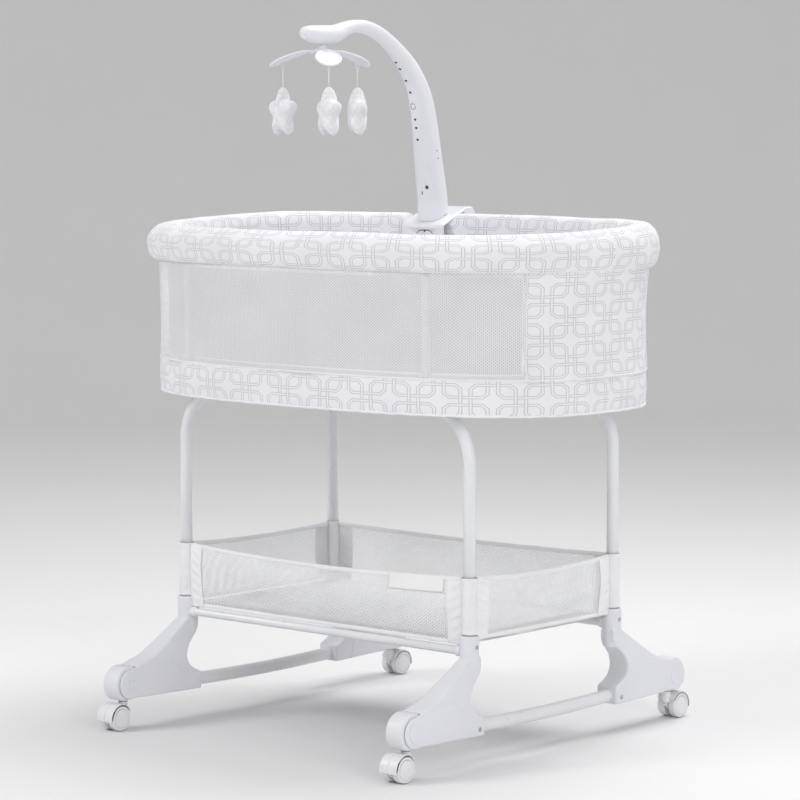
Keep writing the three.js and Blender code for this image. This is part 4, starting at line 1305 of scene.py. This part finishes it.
def mobile_arm():
    path = arm_path()
    rings = []
    first = path[0]
    for drop, shrink in ((0.0, -0.0030), (0.0, -0.0012), (0.0012, -0.0003)):
        rings.append(arm_ring((first[0] + first[1] * drop,) + first[1:], shrink))
    for station in path[1:]:
        rings.append(arm_ring(station))
    last = path[-1]
    for reach, shrink in ((0.0016, -0.0012), (0.0024, -0.0032)):
        rings.append(arm_ring((last[0] + last[1] * reach,) + last[1:], shrink))
    v = list(np.linspace(0, 0.42, len(rings)))
    obj = grid("arm_shell", np.array(rings), np.linspace(0, 0.13, ARM_SIDES + 1), v, wrap_u=True, caps=True)
    fix_normals(obj)
    shaft = lathe("shaft_room", rod(0.005, 1.05, 1.1030), (HUB_X, HUB_Y, 0), "z", 32)
    low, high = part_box("mobile_button")
    bx, bz = (low.x + high.x) / 2, (low.z + high.z) / 2
    room = lathe("button_room", rod(0.0031, 0.2, high.y + 0.0015), (bx, 0, bz), "y", 24)
    near, far = 0.15, 0.32
    outline = [(near, lid_top(near) + 0.0003), (far, lid_top(far) + 0.0003), (far, 0.70), (near, 0.70)]
    foot = extrude("under_lid", outline, 0.06, 0.0, centre=(HUB_X, 0, 0))
    cut(obj, shaft, room, foot)
    finish_piece(obj, MOBILE, "stand", ["mobile_arm"])
    arm_marks()


def arm_surface(z, across=0.0):
    """Point of the arm's inner face at a height, and the way out of it."""
    best = None
    for at, tangent, normal, wide, deep, power in arm_path(24):
        if at.y < 0.15:
            break
        depth = deep * (1 - min(0.98, abs(across / wide)) ** power) ** (1 / power)
        out = -normal if normal.y > 0 else normal
        point = at + Vector((across, 0, 0)) + out * depth
        if best is None or abs(point.z - z) < best[0]:
            best = (abs(point.z - z), point, out)
    return best[1], best[2]


def dot(name, at, out, wide, tall, thick=0.0005):
    """Small oval disc, standing a hair out of a face."""
    rows = []
    for r, h in ((1.0, -1.0), (1.0, 0.2), (0.93, 0.7), (0.6, 1.0), (0.02, 1.0)):
        rows.append((r, h * thick))
    side = Vector((1, 0, 0)) if abs(out.x) < 0.7 else Vector((0, 1, 0))
    side = (side - out * side.dot(out)).normalized()
    up = out.cross(side).normalized()
    points = []
    for r, h in rows:
        points.append([tuple(at + out * h + side * (wide * r * math.cos(2 * math.pi * k / 24))
                             + up * (tall * r * math.sin(2 * math.pi * k / 24))) for k in range(24)])
    u, v = np.linspace(0, 0.01, 25), np.linspace(0, 0.004, 5)
    obj = grid(name, np.array(points), u, v, wrap_u=True, caps=True)
    fix_normals(obj)
    return obj


def arm_marks():
    # The dark marks, grille dots and slit stand for small recessed slots and holes; their dark colour is painted
    # shade.
    marks = []
    for i, z in enumerate((1.0825, 1.0676, 1.051, 1.031, 1.012, 0.968, 0.954, 0.934)):
        at, out = arm_surface(z)
        marks.append(dot(f"mark_{i}", at, out, 0.0026, 0.0020))
    for k in range(8):
        turn = 2 * math.pi * k / 8
        at, out = arm_surface(0.989 + 0.005 * math.sin(turn), 0.005 * math.cos(turn))
        marks.append(dot(f"grille_{k}", at, out, 0.0009, 0.0009, 0.0006))
    at, out = arm_surface(0.845, -0.003)
    marks.append(dot("slit", at, out, 0.0010, 0.0034, 0.0004))
    joined = join(marks[0], *marks[1:])
    joined.name = "arm_marks"
    finish_piece(joined, DARK, "stand")
    screws = []
    heights = [row[1] / 1000 for row in ARM_STATIONS[:6]]
    for z in (0.916, 0.903):
        y = np.interp(z, heights, [row[0] / 1000 for row in ARM_STATIONS[:6]])
        wide = np.interp(z, heights, [row[2] / 2000 for row in ARM_STATIONS[:6]])
        at = Vector((HUB_X + wide - 0.0002, y, z))
        screws.append(dot("arm_pin", at, Vector((1, 0, 0)), 0.0013, 0.0013))
    joined = join(screws[0], screws[1])
    joined.name = "arm_pins"
    finish_piece(joined, DARK, "stand")


def lid_top(y):
    """Height of the clamp's sloping lid."""
    return 0.7968 + 0.451 * (y - 0.214)


def mobile_clamp():
    low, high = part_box("mobile_clamp")
    front, half = low.y, (high.x - low.x) / 2
    inner, outer = front + 0.006, high.y - 0.0285
    outline = [(front, 0.752), (inner, 0.7505), (inner, lid_top(inner) - CLAMP_LID),
               (outer, lid_top(outer) - CLAMP_LID), (outer, 0.742), (outer + 0.022, 0.742)]
    outline += curve((outer + 0.022, 0.742), (outer + 0.028, 0.760), (outer + 0.0285, 0.783),
                     (outer + 0.028, 0.812), 10)[1:]
    outline += [(outer + 0.021, 0.822), (outer + 0.005, 0.822), (front + 0.002, lid_top(front + 0.002)),
                (front, lid_top(front) - 0.002)]
    obj = extrude("clamp_block", outline, half, 0.0024, centre=(HUB_X, 0, 0), segments=5)
    knob_low, knob_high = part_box("clamp_knob")
    knob_z = (knob_low.z + knob_high.z) / 2
    hole = lathe("hole", rod(0.0046, knob_low.y - 0.01, high.y + 0.02), (HUB_X, 0, knob_z), "y", 32)
    slot_line = [(-0.0180, -0.0030), (-0.0120, 0.0014), (-0.0030, 0.0026), (0.0030, 0.0026), (0.0120, 0.0014),
                 (0.0180, -0.0030), (0.0172, -0.0042), (0.0116, 0.0001), (0.0032, 0.0012), (0.0, -0.0022),
                 (-0.0032, 0.0012), (-0.0116, 0.0001), (-0.0172, -0.0042)]
    middle = (HUB_X + 0.006, front, 0.782)
    slot = extrude("slot", slot_line, 0.0014, 0.0, "y", middle)
    apply_modifiers(obj)
    cut(obj, hole, slot)
    finish_piece(obj, MOBILE, "stand", ["mobile_clamp"])
    # Dark sheet set into the arch-shaped groove: painted shade for the groove's shadow line.
    fill = extrude("slot_painted_shade", slot_line, 0.0006, 0.0, "y", (middle[0], front + 0.0010, 0.782))
    finish_piece(fill, DARK, "stand")


def clamp_knob():
    low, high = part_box("clamp_knob")
    radius = (high.z - low.z) / 2
    z = (high.z + low.z) / 2
    face = high.y - 0.012
    rings = []
    profile = rounded([(0.0002, low.y), (0.0038, low.y), (0.0038, face), (radius, face), (radius, high.y),
                       (0.0002, high.y)], 0.0014)
    for r, y in profile:
        ring = []
        for k in range(96):
            t = 2 * math.pi * k / 96
            lobe = 1 - 0.07 * (0.5 + 0.5 * math.cos(t * 12)) if r > radius * 0.8 else 1.0
            ring.append((HUB_X + r * lobe * math.cos(t), y, z + r * lobe * math.sin(t)))
        rings.append(ring)
    u = np.linspace(0, 0.08, 97)
    obj = grid("knob_grip", np.array(rings), u, profile_run(profile), wrap_u=True, caps=True)
    fix_normals(obj)
    finish_piece(obj, MOBILE, "knob", ["clamp_knob"])


def button():
    low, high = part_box("mobile_button")
    x, z = (low.x + high.x) / 2, (low.z + high.z) / 2
    profile = rounded(rod(0.0026, low.y, high.y, 0.0002), 0.0007)
    obj = lathe("button_cap", profile, (x, 0, z), "y", 32)
    fix_normals(obj)
    finish_piece(obj, DARK, "button", ["mobile_button"])


def hub():
    low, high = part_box("mobile_hub")
    profile = rounded([(0.0002, low.z), (0.010, low.z), (0.013, low.z + 0.0025), (0.013, low.z + 0.0055),
                       (0.0115, low.z + 0.007), (0.0065, low.z + 0.0072), (0.0065, low.z + 0.013),
                       (0.0044, low.z + 0.0133), (0.0044, high.z), (0.0002, high.z)], 0.0007, 4)
    obj = lathe("hub_cap", profile, (HUB_X, HUB_Y, 0), "z", 64)
    fix_normals(obj)
    finish_piece(obj, MOBILE, "rotor", ["mobile_hub"])


PETAL_ROOT = 0.013  # distances from the hub's axis
PETAL_REACH = 0.091
PETAL_WIDEST = 0.66  # where a petal is widest, as a share of its length
PETAL_HALF = 0.020
PETAL_STEM = 0.0028
STRING_RADIUS = 0.070
STAR_TURNS = (-70, 155, 65)  # how far each star has turned on its string, in degrees


def petal_matrix(i):
    low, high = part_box(f"toy_string_{i}")
    turn = math.atan2((low.y + high.y) / 2 - HUB_Y, (low.x + high.x) / 2 - HUB_X)
    return Matrix.Translation((HUB_X, HUB_Y, 0)) @ Matrix.Rotation(turn, 4, "Z")


def petal_middle(share):
    return PETAL_ROOT + (PETAL_REACH - PETAL_ROOT) * share, 1.0775 - 0.027 * share ** 1.6


def petal_half(share):
    """Half width of a petal: a stem that swells into a round-ended spoon."""
    if share > PETAL_WIDEST:
        return PETAL_HALF * math.sqrt(max(0.0, 1 - ((share - PETAL_WIDEST) / (1 - PETAL_WIDEST)) ** 2))
    return PETAL_STEM + (PETAL_HALF - PETAL_STEM) * ease(share, 0.04, PETAL_WIDEST)


def petal_point(share, side):
    """side runs from -1 to 1 across the cupped leaf."""
    x, z = petal_middle(share)
    half = petal_half(share)
    edge = max(abs(side), (share - PETAL_WIDEST) / (1 - PETAL_WIDEST))
    cup = 0.0030 * edge ** 2.4 * min(1, share * 4)
    return (x, half * side, z + cup - 0.0009 * math.exp(-(side / 0.14) ** 2))


def petals():
    rows = np.linspace(0.0, 0.9985, 56)
    cols = np.linspace(-1, 1, 29)
    points = np.array([[petal_point(s, c) for c in cols] for s in rows])
    blade = grid("leaf", points, cols * PETAL_HALF, rows * (PETAL_REACH - PETAL_ROOT))
    fix_normals(blade)
    modify(blade, "SOLIDIFY", thickness=0.0016, offset=0)
    apply_modifiers(blade)
    tip = []
    for t in np.linspace(-math.pi / 2, math.pi / 2, 33):
        x, z = petal_middle(PETAL_WIDEST + (1 - PETAL_WIDEST) * math.cos(t))
        tip.append((x, PETAL_HALF * math.sin(t), z + 0.0034))
    low_rows = [s for s in rows if s < PETAL_WIDEST - 0.005]
    rim_line = [petal_point(s, -1) for s in low_rows] + tip + [petal_point(s, 1) for s in low_rows[::-1]]
    rim = tube("leaf_rim", rim_line, 0.0016, 12, True)
    arm = tube("leaf_root", [(0.0105, 0, 1.0775), (0.018, 0, 1.0770), (0.030, 0, 1.0745)], 0.0034, 16,
               taper=[1.0, 0.9, 0.35])
    x, z = petal_middle((STRING_RADIUS - PETAL_ROOT) / (PETAL_REACH - PETAL_ROOT))
    ring = [(x + 0.0022 * math.cos(t), 0.0, z - 0.0034 + 0.0026 * math.sin(t))
            for t in np.linspace(0, 2 * math.pi, 33)[:-1]]
    eye = tube("leaf_eye", ring, 0.0006, 10, True)
    leaf = join(blade, rim, arm, eye)
    leaf.data.polygons.foreach_set("use_smooth", [True] * len(leaf.data.polygons))
    for i in (1, 2, 3):
        finish_piece(copy_of(leaf, f"leaf_{i}", petal_matrix(i)), MOBILE, "rotor",
                     [f"mobile_petal_{i}"])
    remove(leaf)


def bow(i):
    """Little tied bow at the top of a toy's string."""
    low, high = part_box(f"toy_string_{i}")
    centre = Vector(((low.x + high.x) / 2, (low.y + high.y) / 2, high.z - 0.0016))
    turn = petal_matrix(i).to_3x3()
    parts = []
    for side in (-1, 1):
        loop = []
        for t in np.linspace(0, 2 * math.pi, 25)[:-1]:
            spread = 0.0030 * (1 - math.cos(t))
            loop.append(centre + turn @ Vector((0.0006 * math.sin(2 * t), side * spread,
                                                0.0017 * math.sin(t) + 0.18 * spread)))
        parts.append(tube("bow_loop", loop, 0.00055, 8, True))
        tail = [centre, centre + turn @ Vector((0.0004, side * 0.0018, -0.0026)),
                centre + turn @ Vector((0.0003, side * 0.0030, -0.0062))]
        parts.append(tube("bow_tail", tail, 0.00050, 8))
    profile = [(0.0001, -0.0013), (0.0008, -0.0011), (0.0013, 0), (0.0008, 0.0011), (0.0001, 0.0013)]
    knot = lathe("bow_knot", profile, tuple(centre), "z", 16)
    made = join(knot, *parts)
    made.name = f"bow_{i}"
    made.data.polygons.foreach_set("use_smooth", [True] * len(made.data.polygons))
    return finish_piece(made, STRING, f"string_{i}")


def star_radius(turn):
    """Outline of a blunt five-pointed star, 1 at its tips."""
    phase = (turn - math.pi / 2) * 5
    wave = 0.5 + 0.5 * math.cos(phase)
    return 0.66 + 0.34 * wave ** 1.2


def star_mesh():
    """Stuffed star: two cloth faces puffed out from a seam, pulled in towards the notches."""
    around, rings = 160, 22
    half_wide, half_tall, half_thick = 0.0295, 0.0425, 0.0150
    verts, faces, uvs = [], [], []
    for face in (1, -1):
        for i in range(rings):
            share = i / rings
            for k in range(around):
                turn = 2 * math.pi * k / around
                reach = star_radius(turn) * share
                puff = (1 - share ** 2.6) ** 0.55
                ridge = 0.80 + 0.20 * star_radius(turn) ** 2
                across, up = math.cos(turn) * reach, math.sin(turn) * reach
                crumple = noise.noise(Vector((across * 3.4, up * 3.4, face * 2.0)))
                fine = noise.noise(Vector((across * 9, up * 9, face * 5.0)))
                thick = half_thick * puff * (1 - (1 - ridge) * share) * (1 + 0.10 * crumple + 0.04 * fine)
                verts.append((face * thick, half_wide * across, half_tall * up))
    seam_start = len(verts)
    for k in range(around):
        turn = 2 * math.pi * k / around
        reach = star_radius(turn)
        pucker = 0.0006 * math.sin(turn * 40)
        verts.append((pucker, half_wide * reach * math.cos(turn), half_tall * reach * math.sin(turn)))
    for side, face in enumerate((1, -1)):
        base = side * rings * around
        for i in range(rings):
            for k in range(around):
                k2 = (k + 1) % around
                a, b = base + i * around + k, base + i * around + k2
                if i + 1 < rings:
                    c, d = a + around, b + around
                else:
                    c, d = seam_start + k, seam_start + k2
                quad = (a, c, d, b) if face > 0 else (a, b, d, c)
                faces.append(quad)
                uvs.append([(verts[q][1], verts[q][2]) for q in quad])
    return add_mesh("star", verts, faces, uvs)


def stars():
    for i in (1, 2, 3):
        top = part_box(f"plush_star_{i}")[1].z
        turned = Matrix.Rotation(math.radians(STAR_TURNS[i - 1]), 4, "Z")
        at = petal_matrix(i) @ Matrix.Translation((STRING_RADIUS, 0, top - 0.0432)) @ turned
        obj = star_mesh()
        fix_normals(obj)
        obj.name = f"star_toy_{i}"
        obj.matrix_world = at
        wobbled = vertices(obj)
        still = 1 - ease(wobbled[:, 2], 0.024, 0.038)
        crumple = [[noise.noise(Vector((p[1] * 60 + i * 7, p[2] * 60, p[0] * 60 + k))) for k in range(3)]
                   for p in wobbled.astype(float)]
        wobbled += 0.0011 * still[:, None] * np.array(crumple)
        set_vertices(obj, wobbled)
        modify(obj, "SUBSURF", levels=0, render_levels=1)
        finish_piece(obj, PLUSH, f"star_{i}", [f"plush_star_{i}"])


# ---- floor and light ----------------------------------------------------------------------------
def studio():
    """Pale floor that sweeps up into a backdrop far behind, and three soft lights."""
    g = Graph("studio_floor")
    place = g.place()
    shades = rgba(0.84, 0.84, 0.845), rgba(0.81, 0.81, 0.815)
    g.set(Base_Color=g.mix(g.noise(place, 1.5), *shades), Roughness=0.9)
    level, sweep = 5.0, 3.0  # radius of the level floor and of the curve up from it
    profile = [(0.0002, 0.0), (2.5, 0.0), (level, 0.0)]
    for t in np.linspace(0.08, math.pi / 2, 14):
        profile.append((level + sweep * math.sin(t), sweep * (1 - math.cos(t))))
    profile += [(level + sweep, 9.0)]
    rim = []
    for r, z in profile:
        rim.append([(r * math.cos(a), r * math.sin(a), z) for a in np.linspace(0, 2 * math.pi, 65)[:-1]])
    floor = grid("floor", np.array(rim), np.linspace(0, 1, 65), np.linspace(0, 1, len(rim)), wrap_u=True)
    fix_normals(floor)
    floor.location.z = -0.0006
    floor.visible_shadow = False
    floor.data.materials.append(g.material)
    scene = bpy.context.scene
    scene.view_settings.view_transform = "Standard"
    world = bpy.data.worlds.new("studio")
    scene.world = world
    world.use_nodes = True
    world.node_tree.nodes["Background"].inputs[0].default_value = rgba(1.0, 1.0, 1.0)
    world.node_tree.nodes["Background"].inputs[1].default_value = 0.62
    for name, spot, size, power in (("key", (-2.0, -3.2, 2.9), 1.6, 64), ("fill", (3.6, -1.6, 1.7), 2.2, 48),
                                    ("top", (0.3, 1.2, 3.2), 2.0, 54)):
        data = bpy.data.lights.new(name, "AREA")
        data.size = size
        data.energy = power
        obj = bpy.data.objects.new(name, data)
        obj.location = spot
        obj.rotation_euler = (Vector((0, 0, 0.6)) - Vector(spot)).to_track_quat("-Z", "Y").to_euler()
        bpy.context.scene.collection.objects.link(obj)


camera()
toy_strings()
studio()
leg_frames()
rocker_rails()
cross_bars()
stand_corners()
crib_hoops()
crib_floor()
mattress()
rim_pad()
lower_band()
crib_wall()
for side_name in ("front", "right", "back", "left"):
    basket_wall(side_name)
post_sleeves()
basket_floor()
mobile_clamp()
mobile_arm()
clamp_knob()
button()
hub()
petals()
stars()
